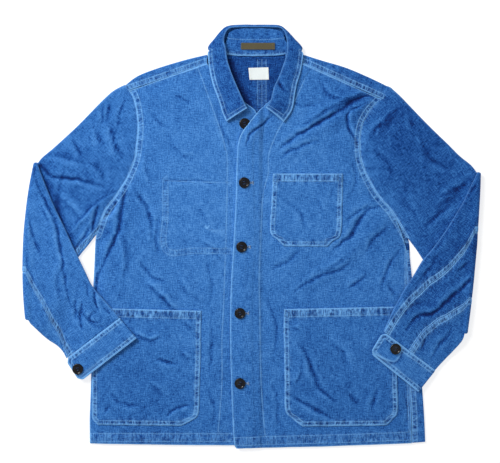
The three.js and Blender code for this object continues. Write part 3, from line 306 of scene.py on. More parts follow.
# Creases: path, half width, rise, lean
creases = {
    "frontLeft": [
        ([-281, 31, -264, 48, -252, 65], 4, -4.0, 0.5),
        ([-235, 94, -248, 37, -251, 9, -280, -53], 6, -3.2, 0.6),
        ([-223, 94, -197, 56, -188, 26, -188, -10], 7, -2.4, -0.5),
        ([-196, -87, -172, -102, -139, -136], 7, 2.6, -0.6),
        ([-47, 195, -38, 162], 4, -1.4, 0.4),
        ([-71, 248, -56, 204, -48, 163], 6, -1.4, 0.3),
        ([-191, 235, -176, 216, -154, 204], 5, -1.2, 0.4),
        ([-142, 265, -116, 250], 5, -1.4, 0.4),
        ([-163, 105, -131, 105, -94, 105, -67, 95], 4, -1.6, 0.5),
        ([-97, -2, -71, -17, -48, -21], 4, 1.2, -0.4),
        ([-172, 43, -180, 9, -178, -36], 8, -1.4, 0.3),
        ([-280, -53, -289, -74, -293, -111], 6, -1.8, 0.3),
        ([-251, 9, -240, -40, -248, -100], 8, 1.4, 0.3),
        ([-210, -47, -188, -74, -161, -85], 7, -1.6, 0.4),
        ([-139, -63, -116, -100, -90, -119], 8, 1.2, -0.4),
        ([-105, 65, -86, 43, -75, 20], 5, 0.9, -0.3),
        ([-150, 182, -127, 159, -101, 152], 6, 1.0, -0.4),
        ([-86, -47, -75, -89, -78, -119], 6, -1.0, 0.3),
        ([-199, 163, -204, 125, -191, 95], 7, 1.2, 0.3),
        ([-78, -153, -75, -204, -82, -254], 7, -1.2, 0.3),
        ([-82, -288, -71, -322, -75, -352], 6, -1.0, 0.3),
    ],
    "frontRight": [
        ([243, 266, 204, 261, 160, 235, 128, 216, 78, 186, 53, 167], 6, -4.2, 0.8),
        ([226, 272, 185, 266, 143, 244, 100, 216], 7, 2.2, 0),
        ([128, 182, 85, 167, 49, 148], 5, -2.2, 0.5),
        ([207, 248, 185, 235, 179, 216, 194, 182, 200, 167], 5, -2.4, -0.5),
        ([241, 56, 217, 50, 198, 26, 185, 3, 151, -25], 7, -3.0, 0.7),
        ([219, 60, 179, 31], 6, -2.0, 0.5),
        ([256, 20, 234, 1, 215, -25], 6, -1.4, 0.4),
        ([213, -74, 181, -98], 5, -1.8, 0.4),
        ([185, -43, 164, -63, 134, -70, 106, -85, 79, -102], 6, -2.4, 0.5),
        ([173, -36, 147, -53, 117, -63], 6, 1.6, 0),
        ([91, -25, 64, -47, 38, -59], 7, -1.2, 0.3),
        ([275, -25, 256, -59, 241, -100], 6, -1.4, 0.3),
        ([40, 227, 25, 214, 9, 201, -5, 188, -10, 171], 4, -2.6, 0.7),
        ([63, 257, 91, 246, 125, 250], 6, -1.0, 0.3),
        ([132, 295, 147, 272, 170, 261], 6, 1.4, -0.3),
        ([61, 125, 38, 88, 34, 41], 6, 1.0, 0.3),
        ([185, 144, 196, 114, 188, 84], 6, -1.2, 0.4),
        ([256, -91, 271, -115], 5, -1.4, 0.3),
        ([31, -119, 46, -175, 38, -232], 7, -1.0, 0.3),
        ([38, -273, 49, -314, 46, -356], 6, -1.0, 0.3),
        ([282, -288, 294, -326, 286, -360], 5, -1.2, 0.3),
    ],
    "hipLeft": [
        ([-220, -177, -189, -190, -173, -183], 4, 2.0, -0.7),
        ([-180, -228, -141, -239], 5, -1.8, 0.4),
        ([-130, -215, -114, -226], 4, 1.6, -0.4),
        ([-159, -337, -141, -320, -116, -316], 5, -2.0, 0.5),
        ([-124, -157, -110, -168], 4, 1.4, -0.4),
        ([-270, -292, -244, -311, -210, -318], 6, -1.4, 0.4),
        ([-191, -269, -161, -292], 6, 1.2, -0.3),
        ([-278, -329, -263, -314], 5, -1.2, 0.3),
    ],
    "hipRight": [
        ([88, -200, 101, -219, 115, -254, 126, -284, 157, -309], 6, -2.4, 0.6),
        ([76, -299, 101, -313, 126, -328, 158, -342], 5, -2.0, 0.5),
        ([235, -284, 222, -329], 6, -1.8, 0.5),
        ([78, -166, 90, -173], 4, 1.4, -0.4),
        ([147, -187, 177, -217, 188, -254], 7, 1.2, -0.3),
        ([177, -292, 200, -314], 6, -1.4, 0.4),
        ([91, -241, 79, -277], 5, 1.2, 0.3),
    ],
    "chest": [
        ([64, 69, 91, 43, 102, 9], 6, -0.9, 0.3),
        ([125, 77, 140, 47], 5, 0.9, -0.3),
        ([155, 99, 147, 73], 4, -0.9, 0.3),
    ],
    "sleeveLeft": [
        ([-288, 59, -292, 46, -300, 11], 4, -4.5, 0.6),
        ([-268, 250, -270, 219], 4, -2.4, 0.5),
        ([-280, 250, -278, 212], 4, -1.8, 0.4),
        ([-240, 259, -248, 227, -253, 197], 4, -2.4, 0.6),
        ([-263, 216, -261, 189, -255, 167, -242, 148], 5, -3.2, 0.6),
        ([-295, 203, -289, 189, -278, 171], 4, -2.2, 0.5),
        ([-334, 178, -329, 167, -319, 152], 5, -2.2, 0.5),
        ([-406, 139, -391, 129, -376, 116, -357, 110, -321, 107, -280, 94], 5, -4.2, 0.8),
        ([-387, 148, -353, 144, -319, 133], 7, 2.0, 0),
        ([-255, 82, -278, 69, -308, 43, -342, 7], 4, 1.8, -0.7),
        ([-297, 28, -315, 1, -332, -25], 4, -1.6, 0.4),
        ([-360, 77, -338, 62, -319, 39], 7, 1.4, -0.4),
        ([-304, 144, -285, 125, -278, 103], 6, -1.4, 0.4),
        ([-353, 122, -364, 69, -357, 20], 8, -1.4, 0.4),
    ],
    "sleeveLeftLow": [
        ([-402, 107, -394, 83, -368, 28, -355, -40, -349, -83, -338, -130], 5, -2.6, 0.6),
        ([-415, 33, -406, -6, -394, -40], 5, -1.8, 0.5),
        ([-330, -117, -329, -157], 5, -2.2, 0.5),
        ([-298, -93, -294, -107, -289, -128, -287, -137], 3.6, -4.0, -0.6),
        ([-287, -139, -297, -143, -303, -152, -297, -160, -285, -159, -279, -152], 3, -2.2, 0.4),
        ([-318, -122, -321, -150, -317, -172], 5, -2.8, 0.5),
        ([-385, -136, -375, -156, -360, -175, -355, -194, -347, -217], 6, -4.8, 0.6),
        ([-417, -17, -409, -63, -398, -100], 6, 1.6, -0.4),
        ([-364, -47, -368, -89, -360, -126], 6, 1.6, 0.4),
        ([-315, -141, -300, -160, -278, -168], 5, -1.8, 0.4),
        ([-387, 62, -376, 28], 5, 1.4, -0.3),
        ([-312, -85, -304, -111], 4, -1.6, 0.4),
        ([-278, -130, -263, -145], 4, -1.6, 0.4),
    ],
    "sleeveRight": [
        ([275, 242, 256, 225, 237, 206, 219, 186], 5, -3.4, 0.7),
        ([272, 235, 243, 208, 230, 188], 5, 2.0, 0),
        ([284, 233, 279, 227], 4, -1.6, 0.4),
        ([294, 223, 305, 201], 6, -1.4, 0.4),
        ([226, 163, 249, 144, 264, 118], 7, -1.2, 0.4),
        ([316, 182, 335, 148, 365, 129], 9, -1.2, 0.3),
        ([407, 107, 376, 84, 354, 77], 8, -2.0, 0.5),
        ([346, 62, 365, 77, 388, 88], 7, 1.6, -0.4),
        ([275, 88, 301, 62, 316, 28], 8, 1.2, -0.4),
        ([326, 22, 346, 39, 369, 58], 6, -1.6, 0.4),
    ],
    "sleeveRightLow": [
        ([422, 99, 401, 77, 375, 43], 6, -2.4, 0.5),
        ([415, -72, 392, -96, 370, -113, 343, -141, 310, -149, 288, -173], 6, -3.6, 0.7),
        ([410, -6, 395, -36, 376, -59], 6, 1.6, -0.4),
        ([403, -47, 384, -66], 5, -1.8, 0.4),
        ([354, -25, 331, -59, 309, -89], 7, -1.4, 0.4),
        ([382, 28, 365, -2, 343, -32], 7, 1.2, -0.3),
        ([395, -119, 376, -149, 350, -164], 6, 1.8, -0.5),
        ([373, -175, 350, -205, 335, -228], 6, -2.0, 0.5),
        ([324, -119, 298, -130, 279, -153], 5, -1.6, 0.4),
        ([286, -111, 267, -141], 6, 1.2, -0.3),
        ([328, -187, 316, -213], 5, -1.6, 0.4),
    ],
    "leaf": [
        ([60, 273, 51, 287, 44, 298], 4, -2.2, 0.6),
        ([-71, 332, -60, 321], 4, -0.9, 0.3),
    ],
    "neck": [
        ([-30, 313, -11, 276, -3, 250], 7, -0.8, 0.2),
        ([38, 321, 31, 287], 6, 0.8, 0.2),
    ],
}


def mix(a, b, t):
    return a + (b - a) * t


def ease(a, b, x):
    t = np.clip((x - a) / (b - a), 0, 1)
    return t * t * (3 - 2 * t)


def peak(d, width):
    # 1 where d is 0, next to nothing at two widths
    return np.exp(-((d / width) ** 2))


def skirt(d, width):
    # 1 up to 0, then falling away slowly
    return np.exp(-((np.maximum(d, 0) / width) ** 1.3))


def running(steps):
    # place along a line, from the lengths of its steps
    return np.concatenate([[0], np.cumsum(steps)])


def rowsAt(rows, v):
    # rows of a table at fractions v, curved through the rows
    r = np.array(rows, float)
    s = np.clip(v, 0, 1) * (len(r) - 1)
    i = np.minimum(s.astype(int), len(r) - 2)
    t = (s - i)[:, None]
    before, here = r[np.maximum(i - 1, 0)], r[i]
    there, after = r[i + 1], r[np.minimum(i + 2, len(r) - 1)]
    m0, m1, d = (there - before) / 2, (after - here) / 2, there - here
    return here + m0 * t + (3 * d - 2 * m0 - m1) * t**2 + (m0 + m1 - 2 * d) * t**3


def evenPlaces(rows, step, columns=None):
    # fractions of a table whose rows lie about one step apart
    v = np.linspace(0, 1, 400)
    r = rowsAt(rows, v)[:, columns or slice(None)]
    run = running(np.abs(np.diff(r, axis=0)).max(axis=1))
    count = max(2, int(round(run[-1] / step)))
    return np.interp(np.linspace(0, run[-1], count + 1), run, v)


def planGrid(rows, us, vs):
    r = rowsAt(rows, vs)
    count = r.shape[1] // 2
    s = us * (count - 1)
    i = np.minimum(s.astype(int), count - 2)
    t = (s - i)[:, None]
    x, y = r[:, 0::2].T, r[:, 1::2].T
    return mix(x[i], x[i + 1], t), mix(y[i], y[i + 1], t)


def smoothPath(path, step=4.0):
    # a curve through x, y pairs
    p = np.array(path, float).reshape(-1, 2)
    if len(p) < 3:
        count = max(2, int(np.hypot(*(p[1] - p[0])) / step))
        return p[0] + (p[1] - p[0]) * np.linspace(0, 1, count + 1)[:, None]
    run = np.hypot(*np.diff(p, axis=0).T).sum()
    return rowsAt(p, np.linspace(0, 1, max(3, int(run / step)) + 1))


def nearPath(path, x, y, reach):
    # where points lie beside a path: a mask, distance (left positive), length along, whole length
    lo, hi = path.min(0) - reach, path.max(0) + reach
    mask = (x > lo[0]) & (x < hi[0]) & (y > lo[1]) & (y < hi[1])
    px, py = x[mask], y[mask]
    best = np.full(px.shape, 1e9)
    side, along = np.zeros(px.shape), np.zeros(px.shape)
    total = 0.0
    for a, b in zip(path[:-1], path[1:]):
        dx, dy = b - a
        length = math.hypot(dx, dy)
        if length < 1e-6:
            continue
        t = np.clip(((px - a[0]) * dx + (py - a[1]) * dy) / length**2, 0, 1)
        ox, oy = px - a[0] - dx * t, py - a[1] - dy * t
        dist = np.hypot(ox, oy)
        closer = dist < best
        best[closer] = dist[closer]
        side[closer] = np.where(dx * oy - dy * ox >= 0, 1.0, -1.0)[closer]
        along[closer] = (total + t * length)[closer]
        total += length
    return mask, best * side, along, total


def wave1(s, scale, seed):
    # smooth random wave from -1 to 1 along a length
    values = np.random.default_rng(seed).uniform(-1, 1, 512)
    f = np.abs(s) / scale + 3
    i = np.floor(f).astype(int)
    t = f - i
    t = t * t * (3 - 2 * t)
    return mix(values[i % 512], values[(i + 1) % 512], t)


def gathers(s, seed, short, long):
    # uneven puckers along a sewn row
    return short * wave1(s, 4.8, seed) + long * wave1(s, 10, seed + 1)


def wave2(x, y, scale, seed):
    values = np.random.default_rng(seed).uniform(-1, 1, (128, 128))
    fx, fy = x / scale + 40, y / scale + 40
    i, j = np.floor(fx).astype(int), np.floor(fy).astype(int)
    t, u = fx - i, fy - j
    t, u = t * t * (3 - 2 * t), u * u * (3 - 2 * u)
    a = mix(values[i % 128, j % 128], values[(i + 1) % 128, j % 128], t)
    b = mix(values[i % 128, (j + 1) % 128], values[(i + 1) % 128, (j + 1) % 128], t)
    return mix(a, b, u)


def slide(field, n, axis, how):
    # running highest or mean over 2n + 1 cells
    if n < 1:
        return field
    if how == "mean":
        pad = np.concatenate([np.repeat(np.take(field, [0], axis), n + 1, axis), field,
                              np.repeat(np.take(field, [-1], axis), n, axis)], axis)
        total = np.cumsum(pad, axis)
        size = field.shape[axis]
        top = np.take(total, range(2 * n + 1, 2 * n + 1 + size), axis)
        return (top - np.take(total, range(size), axis)) / (2 * n + 1)
    out = field.copy()
    for k in range(1, n + 1):
        out = np.maximum(out, np.maximum(np.roll(field, -k, axis), np.roll(field, k, axis)))
    return out


def blur(field, n):
    return slide(slide(field, n, 0, "mean"), n, 1, "mean")


def widen(field, n):
    return slide(slide(field, n, 0, "most"), n, 1, "most")


class Laid:
    # the highest cloth laid so far, on a 2 mm map
    cell, halfX, halfY = 2.0, 480, 440

    def __init__(self):
        self.top = np.zeros((int(2 * self.halfX / self.cell), int(2 * self.halfY / self.cell)))

    def press(self, x, y, z, times=1):
        for _ in range(times):
            x, y, z = (self.refined(g) for g in (x, y, z))
        i = ((x + self.halfX) / self.cell).astype(int)
        j = ((y + self.halfY) / self.cell).astype(int)
        np.maximum.at(self.top, (i.ravel(), j.ravel()), z.ravel())

    def pressGrid(self, p, times=1):
        self.press(p[..., 0], p[..., 1], p[..., 2], times)

    def refined(self, g):
        out = np.zeros((2 * g.shape[0] - 1, 2 * g.shape[1] - 1))
        out[::2, ::2] = g
        out[1::2, ::2] = (g[1:] + g[:-1]) / 2
        out[:, 1::2] = (out[:, 2::2] + out[:, :-2:2]) / 2
        return out

    def rest(self, reach, soften):
        near = widen(self.top, int(round(reach / self.cell)))
        n = int(round(soften / self.cell))
        soft = np.maximum(near, blur(blur(widen(near, n), n), n)) if n else near
        return lambda x, y: self.sample(soft, x, y)

    def surface(self, x, y):
        return self.sample(self.top, x, y)

    def sample(self, field, x, y):
        fx = np.clip((np.asarray(x, float) + self.halfX) / self.cell - 0.5, 0, field.shape[0] - 1.001)
        fy = np.clip((np.asarray(y, float) + self.halfY) / self.cell - 0.5, 0, field.shape[1] - 1.001)
        i, j = fx.astype(int), fy.astype(int)
        t, u = fx - i, fy - j
        a = mix(field[i, j], field[i + 1, j], t)
        b = mix(field[i, j + 1], field[i + 1, j + 1], t)
        return mix(a, b, u)


laid = Laid()


foldShape = {"narrow": 0.95, "widthWave": 19, "riseWave": 13, "pathWave": 11, "reach": 28.5}


def creaseHeight(x, y, rows):
    # listed folds, gentle on one side and steep on the other, with how deep in shade they lie
    z, shade = np.zeros(x.shape), np.zeros(x.shape)
    for k, (path, width, rise, lean) in enumerate(rows):
        mask, d, s, total = nearPath(smoothPath(path), x, y, 5 * width)
        if not mask.any():
            continue
        taper = np.sin(np.pi * np.clip((s + 0.05 * total) / (1.10 * total), 0, 1)) ** 0.7
        wide = 1 + 0.3 * wave1(s, foldShape["widthWave"], 60 + k)
        width = foldShape["narrow"] * width * wide * (0.5 + 0.5 * taper)
        uneven = taper * (1 + 0.35 * wave1(s, foldShape["riseWave"], 90 + k))
        toward = (d + 1.4 * wave1(s, foldShape["pathWave"], 120 + k)) * (1 if lean >= 0 else -1)
        ends = ease(foldShape["reach"], 12, np.abs(d))
        if rise < 0:
            shape = skirt(np.abs(toward), 0.60 * width) - 0.30 * peak(toward + 1.5 * width, 1.5 * width)
            dark = peak(toward - 0.15 * width, 0.62 * width) - 0.30 * peak(toward + 1.3 * width, 0.7 * width)
        else:
            shape = np.where(toward < 0, peak(toward, 1.9 * width), peak(toward, 0.7 * width))
            dark = peak(toward - 0.95 * width, 0.75 * width) - 0.40 * peak(toward + 0.2 * width, 0.5 * width)
        z[mask] += rise * uneven * shape * ends
        shade[mask] += uneven * dark * min(abs(rise) / 3.0, 1.2) * ends
    return z, shade


class SeamMarks:
    # for each point the nearest stitched seam: distance, place along, band width, pale wear, ladder
    def __init__(self, shape):
        self.best = np.full(shape, 1e9)
        self.fields = {"sd": np.full(shape, 60.0), "ss": np.zeros(shape), "sw": np.ones(shape),
                       "sp": np.zeros(shape), "sl": np.zeros(shape)}

    def add(self, mask, *values):
        # the values stand in the order of the fields
        d, width = values[0], values[2]
        away = np.maximum(np.maximum(-d, d - width), 0)
        closer = away < self.best[mask]
        for field, value in zip((self.best, *self.fields.values()), (away, *values)):
            part = field[mask]
            part[closer] = np.broadcast_to(value, part.shape)[closer]
            field[mask] = part

    def addAll(self, *values):
        shape = self.best.shape
        self.add(np.ones(shape, bool), *(np.broadcast_to(value, shape).ravel() for value in values))

    def marks(self):
        return {**self.fields, "sd": np.clip(self.fields["sd"], -60, 60)}


def seamHeight(x, y, seams, notes):
    # felled and topstitched seams: a raised band between stitch rows with puckers across it
    z = np.zeros(x.shape)
    for k, (path, band, rise, pucker, pale, ladder) in enumerate(seams):
        line = smoothPath(path)
        wide = abs(band)
        mask, d, s, total = nearPath(line, x, y, wide + 26)
        if not mask.any():
            continue
        d = d * (1 if band >= 0 else -1)
        inside = ease(-1.2, 0.8, d) * ease(wide + 1.2, wide - 0.8, d) * (wide > 2)
        out = np.maximum(np.maximum(-d, d - wide), 0)
        fold = wave1(s + 1.5 * wave1(d, 6, 7), 4.6, 200 + k) * 0.6 + wave1(s, 9.5, 230 + k) * 0.7
        near = skirt(out, 7.5) * ease(-0.12, 0.06, s / max(total, 1))
        stitch = peak(d, 1.5) + peak(d - wide, 1.5)
        z[mask] += rise * inside - 0.22 * stitch * (rise > 0) + pucker * fold * near
        notes.add(mask, d, s + 1000 * (k + 1), wide, pale, ladder)
    return z


def addObject(name, data):
    obj = bpy.data.objects.new(name, data)
    bpy.context.scene.collection.objects.link(obj)
    return obj


def attach(obj, slot, *nodes):
    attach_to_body(obj, "root")
    if nodes:
        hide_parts(*nodes)


def joined(pieces):
    # several (points, rows of indices) as one
    points, rows, base = [], [], 0
    for piecePoints, pieceRows in pieces:
        points.append(piecePoints)
        rows.append(pieceRows + base)
        base += len(piecePoints)
    return np.concatenate(points), np.concatenate(rows)


def meshFrom(name, points, faces, uv, marks, look):
    mesh = bpy.data.meshes.new(name)
    mesh.vertices.add(len(points))
    mesh.vertices.foreach_set("co", ((points + shift) * 0.001).astype(np.float32).ravel())
    mesh.loops.add(faces.size)
    mesh.loops.foreach_set("vertex_index", faces.astype(np.int32).ravel())
    mesh.polygons.add(len(faces))
    mesh.polygons.foreach_set("loop_start", np.arange(0, faces.size, 4, dtype=np.int32))
    mesh.polygons.foreach_set("use_smooth", np.ones(len(faces), bool))
    mesh.update(calc_edges=True)
    layer = mesh.uv_layers.new(name="UVMap")
    layer.data.foreach_set("uv", uv[faces.ravel()].astype(np.float32).ravel())
    for key, values in marks.items():
        mark = mesh.attributes.new(key, "FLOAT", "POINT")
        mark.data.foreach_set("value", values.astype(np.float32))
    mesh.materials.append(look)
    return addObject(name, mesh)


def gridNormals(p):
    n = np.cross(np.gradient(p, axis=0), np.gradient(p, axis=1))
    return n / np.maximum(np.linalg.norm(n, axis=2, keepdims=True), 1e-9)


def ringOf(nu, nv, inset):
    # indices round a grid's edge, moved in by some rows
    i = [np.arange(nu), np.full(nv - 1, nu - 1), np.arange(nu - 2, -1, -1), np.zeros(nv - 2, int)]
    j = [np.zeros(nu, int), np.arange(1, nv), np.full(nu - 1, nv - 1), np.arange(nv - 2, 0, -1)]
    i, j = np.concatenate(i), np.concatenate(j)
    return np.clip(i, inset, nu - 1 - inset), np.clip(j, inset, nv - 1 - inset)


seamRows = []


def crossings(p, n, f, s, keep):
    # where a field changes sign on a grid: points a little above the surface and the edges that join them
    points, ids, start = [], [], 0
    whole, first, second = slice(None), slice(None, -1), slice(1, None)
    for a, b in (((first, whole), (second, whole)), ((whole, first), (whole, second))):
        fa, fb = f[a], f[b]
        hit = (fa * fb < 0) & (np.abs(s[a] - s[b]) < 12) & (np.abs(fa) < 4) & (np.abs(fb) < 4)
        hit &= keep[a] & keep[b]
        t = (fa / np.where(hit, fa - fb, 1))[hit][:, None]
        points.append(mix(p[a][hit], p[b][hit], t) + 0.12 * mix(n[a][hit], n[b][hit], t))
        table = np.full(hit.shape, -1)
        table[hit] = start + np.arange(hit.sum())
        start += int(hit.sum())
        ids.append(table)
    across, up = ids
    sides = np.stack([across[:, :-1], across[:, 1:], up[:-1, :], up[1:, :]], -1).reshape(-1, 4)
    pair = sides[(sides >= 0).sum(1) == 2]
    return np.concatenate(points), np.sort(pair, 1)[:, 2:]


def layCloth(p, wall, uv, marks, flip=False, turn=4, whole=False):
    # a sheet from a grid of its outer side: the grid, a rounded rim and a turned edge below
    nu, nv = p.shape[:2]
    n = gridNormals(p) * (-1 if flip else 1)
    wall = np.broadcast_to(np.asarray(wall, float), (nu, nv))
    index = np.arange(nu * nv).reshape(nu, nv)
    quads = np.stack([index[:-1, :-1], index[1:, :-1], index[1:, 1:], index[:-1, 1:]], -1).reshape(-1, 4)
    if flip:
        quads = quads[:, ::-1]
    points, faces, uvs = [p.reshape(-1, 3)], [quads], [uv.reshape(-1, 2)]
    values = {key: [value.reshape(-1)] for key, value in marks.items()}
    for level in (0.0, 1.0):
        keep = (marks["sp"] > 0.05) & ((marks["sw"] > 2) | (level == 0))
        seamRows.append(crossings(p, n, marks["sd"] - level * marks["sw"], marks["ss"], keep))
    i, j = ringOf(nu, nv, 0)
    k, m = ringOf(nu, nv, 1)
    outward = p[i, j] - p[k, m]
    outward /= np.maximum(np.linalg.norm(outward, axis=1, keepdims=True), 1e-9)
    w = wall[i, j][:, None]
    rims = [(p[i, j] + outward * w * 0.28 - n[i, j] * w * 0.3, i, j),
            (p[i, j] + outward * w * 0.28 - n[i, j] * w * 0.7, i, j)]
    if not whole:
        a, b = ringOf(nu, nv, min(turn, min(nu, nv) // 2 - 1))
        rims += [(p[i, j] - n[i, j] * w, i, j), (p[a, b] - n[a, b] * wall[a, b][:, None], a, b)]
    previous, base = index[i, j], nu * nv
    for ring, a, b in rims:
        here = base + np.arange(len(i))
        faces.append(np.stack([previous, here, np.roll(here, -1), np.roll(previous, -1)], -1))
        points.append(ring)
        uvs.append(uv[a, b])
        for key, value in marks.items():
            values[key].append(value[a, b])
        previous, base = here, base + len(i)
    if whole:
        under = base + index
        here = under[i, j]
        faces.append(np.stack([previous, here, np.roll(here, -1), np.roll(previous, -1)], -1))
        points.append((p - n * wall[..., None]).reshape(-1, 3))
        uvs.append(uv.reshape(-1, 2))
        for key, value in marks.items():
            values[key].append(value.reshape(-1))
        quads = np.stack([under[:-1, :-1], under[:-1, 1:], under[1:, 1:], under[1:, :-1]], -1)
        faces.append(quads.reshape(-1, 4))
    if flip:
        faces[1:] = [face[:, ::-1] for face in faces[1:]]
    return {"points": np.concatenate(points), "faces": np.concatenate(faces), "uv": np.concatenate(uvs),
            "marks": {key: np.concatenate(value) for key, value in values.items()}}


class Wire:
    # a shader value that can be used in sums
    def __init__(self, tree, socket):
        self.tree, self.socket = tree, socket

    def node(self, kind, settings=None, sockets=None, out=0):
        made = self.tree.nodes.new(kind)
        for key, value in (settings or {}).items():
            setattr(made, key, value)
        for key, value in (sockets or {}).items():
            if isinstance(value, Wire):
                self.tree.links.new(value.socket, made.inputs[key])
            else:
                made.inputs[key].default_value = value
        return Wire(self.tree, made.outputs[out])

    def math(self, how, a, b=0.0, clamp=False):
        return self.node("ShaderNodeMath", {"operation": how, "use_clamp": clamp}, {0: a, 1: b})

    def __add__(self, other):
        return self.math("ADD", self, other)

    def __sub__(self, other):
        return self.math("SUBTRACT", self, other)

    def __mul__(self, other):
        return self.math("MULTIPLY", self, other)

    def __truediv__(self, other):
        return self.math("DIVIDE", self, other)

    def __rsub__(self, other):
        return self.math("SUBTRACT", other, self)

    __radd__ = __add__
    __rmul__ = __mul__

    def clip(self):
        return self.math("ADD", self, 0.0, clamp=True)

    def between(self, low, high):
        return self.node("ShaderNodeMapRange", {"interpolation_type": "SMOOTHSTEP"},
                         {"Value": self, "From Min": low, "From Max": high})

    def scaled(self, x, y, z=1.0):
        return self.node("ShaderNodeVectorMath", {"operation": "MULTIPLY"}, {0: self, 1: (x, y, z)})

    def noise(self, scale, detail=2.0, roughness=0.5):
        return self.node("ShaderNodeTexNoise", {}, {"Vector": self, "Scale": scale, "Detail": detail,
                                                    "Roughness": roughness})

    def toward(self, a, b):
        # a colour a to b by this amount
        made = self.tree.nodes.new("ShaderNodeMix")
        made.data_type = "RGBA"
        self.tree.links.new(self.socket, made.inputs[0])
        for slot, value in ((6, a), (7, b)):
            if isinstance(value, Wire):
                self.tree.links.new(value.socket, made.inputs[slot])
            else:
                made.inputs[slot].default_value = (*value, 1.0)
        return Wire(self.tree, made.outputs[2])


def newLook(name, fixed):
    look = bpy.data.materials.new(name)
    look.use_nodes = True
    surface = look.node_tree.nodes["Principled BSDF"]
    for key, value in fixed.items():
        surface.inputs[key].default_value = value
    start = Wire(look.node_tree, None)
    place = start.node("ShaderNodeUVMap", {"uv_map": "UVMap"})
    return look, surface, place


def feed(look, surface, key, wire):
    look.node_tree.links.new(wire.socket, surface.inputs[key])


denimLook = {
    "shadowNavy": (0.001, 0.010, 0.085), "deep": (0.003, 0.050, 0.245), "base": (0.032, 0.163, 0.490),
    "light": (0.085, 0.275, 0.660), "pale": (0.180, 0.450, 0.860), "twill": 1.15, "bump": 0.55,
}


def makeDenim(d):
    look, surface, place = newLook("denim", {
        "Roughness": 0.86, "Sheen Weight": 0.10, "Sheen Roughness": 0.45, "Specular IOR Level": 0.15,
        "Sheen Tint": (0.35, 0.60, 1.0, 1.0)})

    def mark(key):
        return place.node("ShaderNodeAttribute", {"attribute_name": key}, out=2)

    def bell(value, width):
        # 1 where the value is 0, falling to 0 at a distance
        return place.math("POWER", (1.0 - place.math("ABSOLUTE", value) / width).clip(), 1.6)

    warp = place.scaled(1 / 0.75, 1 / 8.0).noise(1.0, 3.0)
    weft = place.scaled(1 / 7.0, 1 / 0.75).noise(1.0, 3.0)
    heather = place.scaled(1 / 2.3, 1 / 2.6).noise(1.0, 3.0, 0.70)
    slubUp = place.scaled(1 / 1.7, 1 / 15.0).noise(1.0, 2.0, 0.6)
    slubAcross = place.scaled(1 / 11.0, 1 / 1.5).noise(1.0, 2.0, 0.6)
    mottle = place.scaled(1 / 24.0, 1 / 30.0).noise(1.0, 3.0)
    diagonal = place.node("ShaderNodeVectorMath", {"operation": "DOT_PRODUCT"},
                          {0: place, 1: (1 / d["twill"], 0.72 / d["twill"], 0)}, out=1)
    twill = place.math("SINE", diagonal * (2 * math.pi)) * 0.5 + 0.5
    threads = (warp * 0.40 + weft * 0.40 + heather * 1.20 + slubUp * 0.75 + slubAcross * 0.95 + mottle * 0.35
               + twill * 0.08 - 2.065)

    # stitched seams: two pale rows, a ladder of puckers between them and puckers fading beside them
    sd, ss, sw, pale, ladder = (mark(key) for key in ("sd", "ss", "sw", "sp", "sl"))
    along = place.node("ShaderNodeCombineXYZ", {}, {0: ss / 2.7, 1: sd / 9.0, 2: sw})
    patch = along.scaled(0.12, 0.3).noise(1.0, 2.0).between(0.25, 0.70)
    bars = along.noise(1.0, 2.0).between(0.42, 0.66)
    ripple = along.scaled(0.36, 0.35).noise(1.0, 2.0).between(0.36, 0.64)
    rows = (bell(sd, 2.0) + bell(sd - sw, 2.0)) * (patch * 0.9 + bars * 0.5 + 0.15)
    inBand = sd.between(-0.8, 0.6) * (sw + 0.6 - sd).between(0.0, 1.4)
    beside = place.math("MAXIMUM", place.math("MAXIMUM", 0.0 - sd, sd - sw), 0.0)
    fade = place.math("POWER", (1.0 - beside / 11.0).clip(), 2.0)
    nearSeam = rows * pale + (bars * inBand * (patch * 0.4 + 0.15) + ripple * fade * 0.20) * ladder
    shadow = ((1.0 - bars) * inBand * 0.48 + (1.0 - ripple) * fade * 0.60) * ladder

    worn, crest, dyeAndPaintedLight, shade = mark("worn"), mark("crest"), mark("dyeAndPaintedLight"), mark("shade")
    rub = place.scaled(1 / 1.3, 1 / 1.3).noise(1.0, 3.0)
    # the tone: unfaded dye with painted light and shade by region, and painted shade in folds and gaps
    tone = threads * 1.45 + 0.5 + crest * 0.20 - shadow * 0.42 - dyeAndPaintedLight * 0.5 - shade * 0.49
    colour = (tone * 2.0).clip().toward(d["deep"], d["base"])
    colour = (tone * 2.0 - 1.0).clip().toward(colour, d["light"])
    # below zero the tone runs to the darkest navy, the painted shade of deep folds, the turned sleeve's edge
    # and the neck
    colour = (tone * -1.9).clip().toward(colour, d["shadowNavy"])
    rubbed = ((worn + nearSeam) * (rub * 1.1 + 0.45)).clip() * 0.88
    colour = rubbed.toward(colour, d["pale"])
    feed(look, surface, "Base Color", colour)
    feed(look, surface, "Roughness", 0.86 - threads * 0.12)
    height = twill * 0.10 + warp * 0.30 + weft * 0.24 + heather * 0.25 + nearSeam * 0.9 - shadow * 0.7
    bump = place.node("ShaderNodeBump", {}, {"Strength": d["bump"], "Distance": 0.0007, "Height": height})
    feed(look, surface, "Normal", bump)
    return look


def makeThread(name, dark, light):
    look, surface, place = newLook(name, {"Roughness": 0.8, "Specular IOR Level": 0.1})
    feed(look, surface, "Base Color", place.scaled(0.8, 0.8).noise(1.0, 1.0).toward(dark, light))
    return look


denim = makeDenim(denimLook)
threadLook = makeThread("thread", (0.10, 0.31, 0.68), (0.26, 0.55, 0.92))
paleThread = makeThread("pale_thread", (0.30, 0.50, 0.78), (0.62, 0.78, 0.95))
print("stage: cloth looks made")


def facesUp(p, i, j, up=1):
    # whether a grid must be turned over so that it faces up (or down) at one place
    return gridNormals(p[max(i - 1, 0):i + 2, max(j - 1, 0):j + 2])[0, 0, 2] * up < 0


def combined(parts):
    points, faces = joined([(part["points"], part["faces"]) for part in parts])
    marks = {key: np.concatenate([part["marks"][key] for part in parts]) for key in parts[0]["marks"]}
    return points, faces, np.concatenate([part["uv"] for part in parts]), marks


made = {}


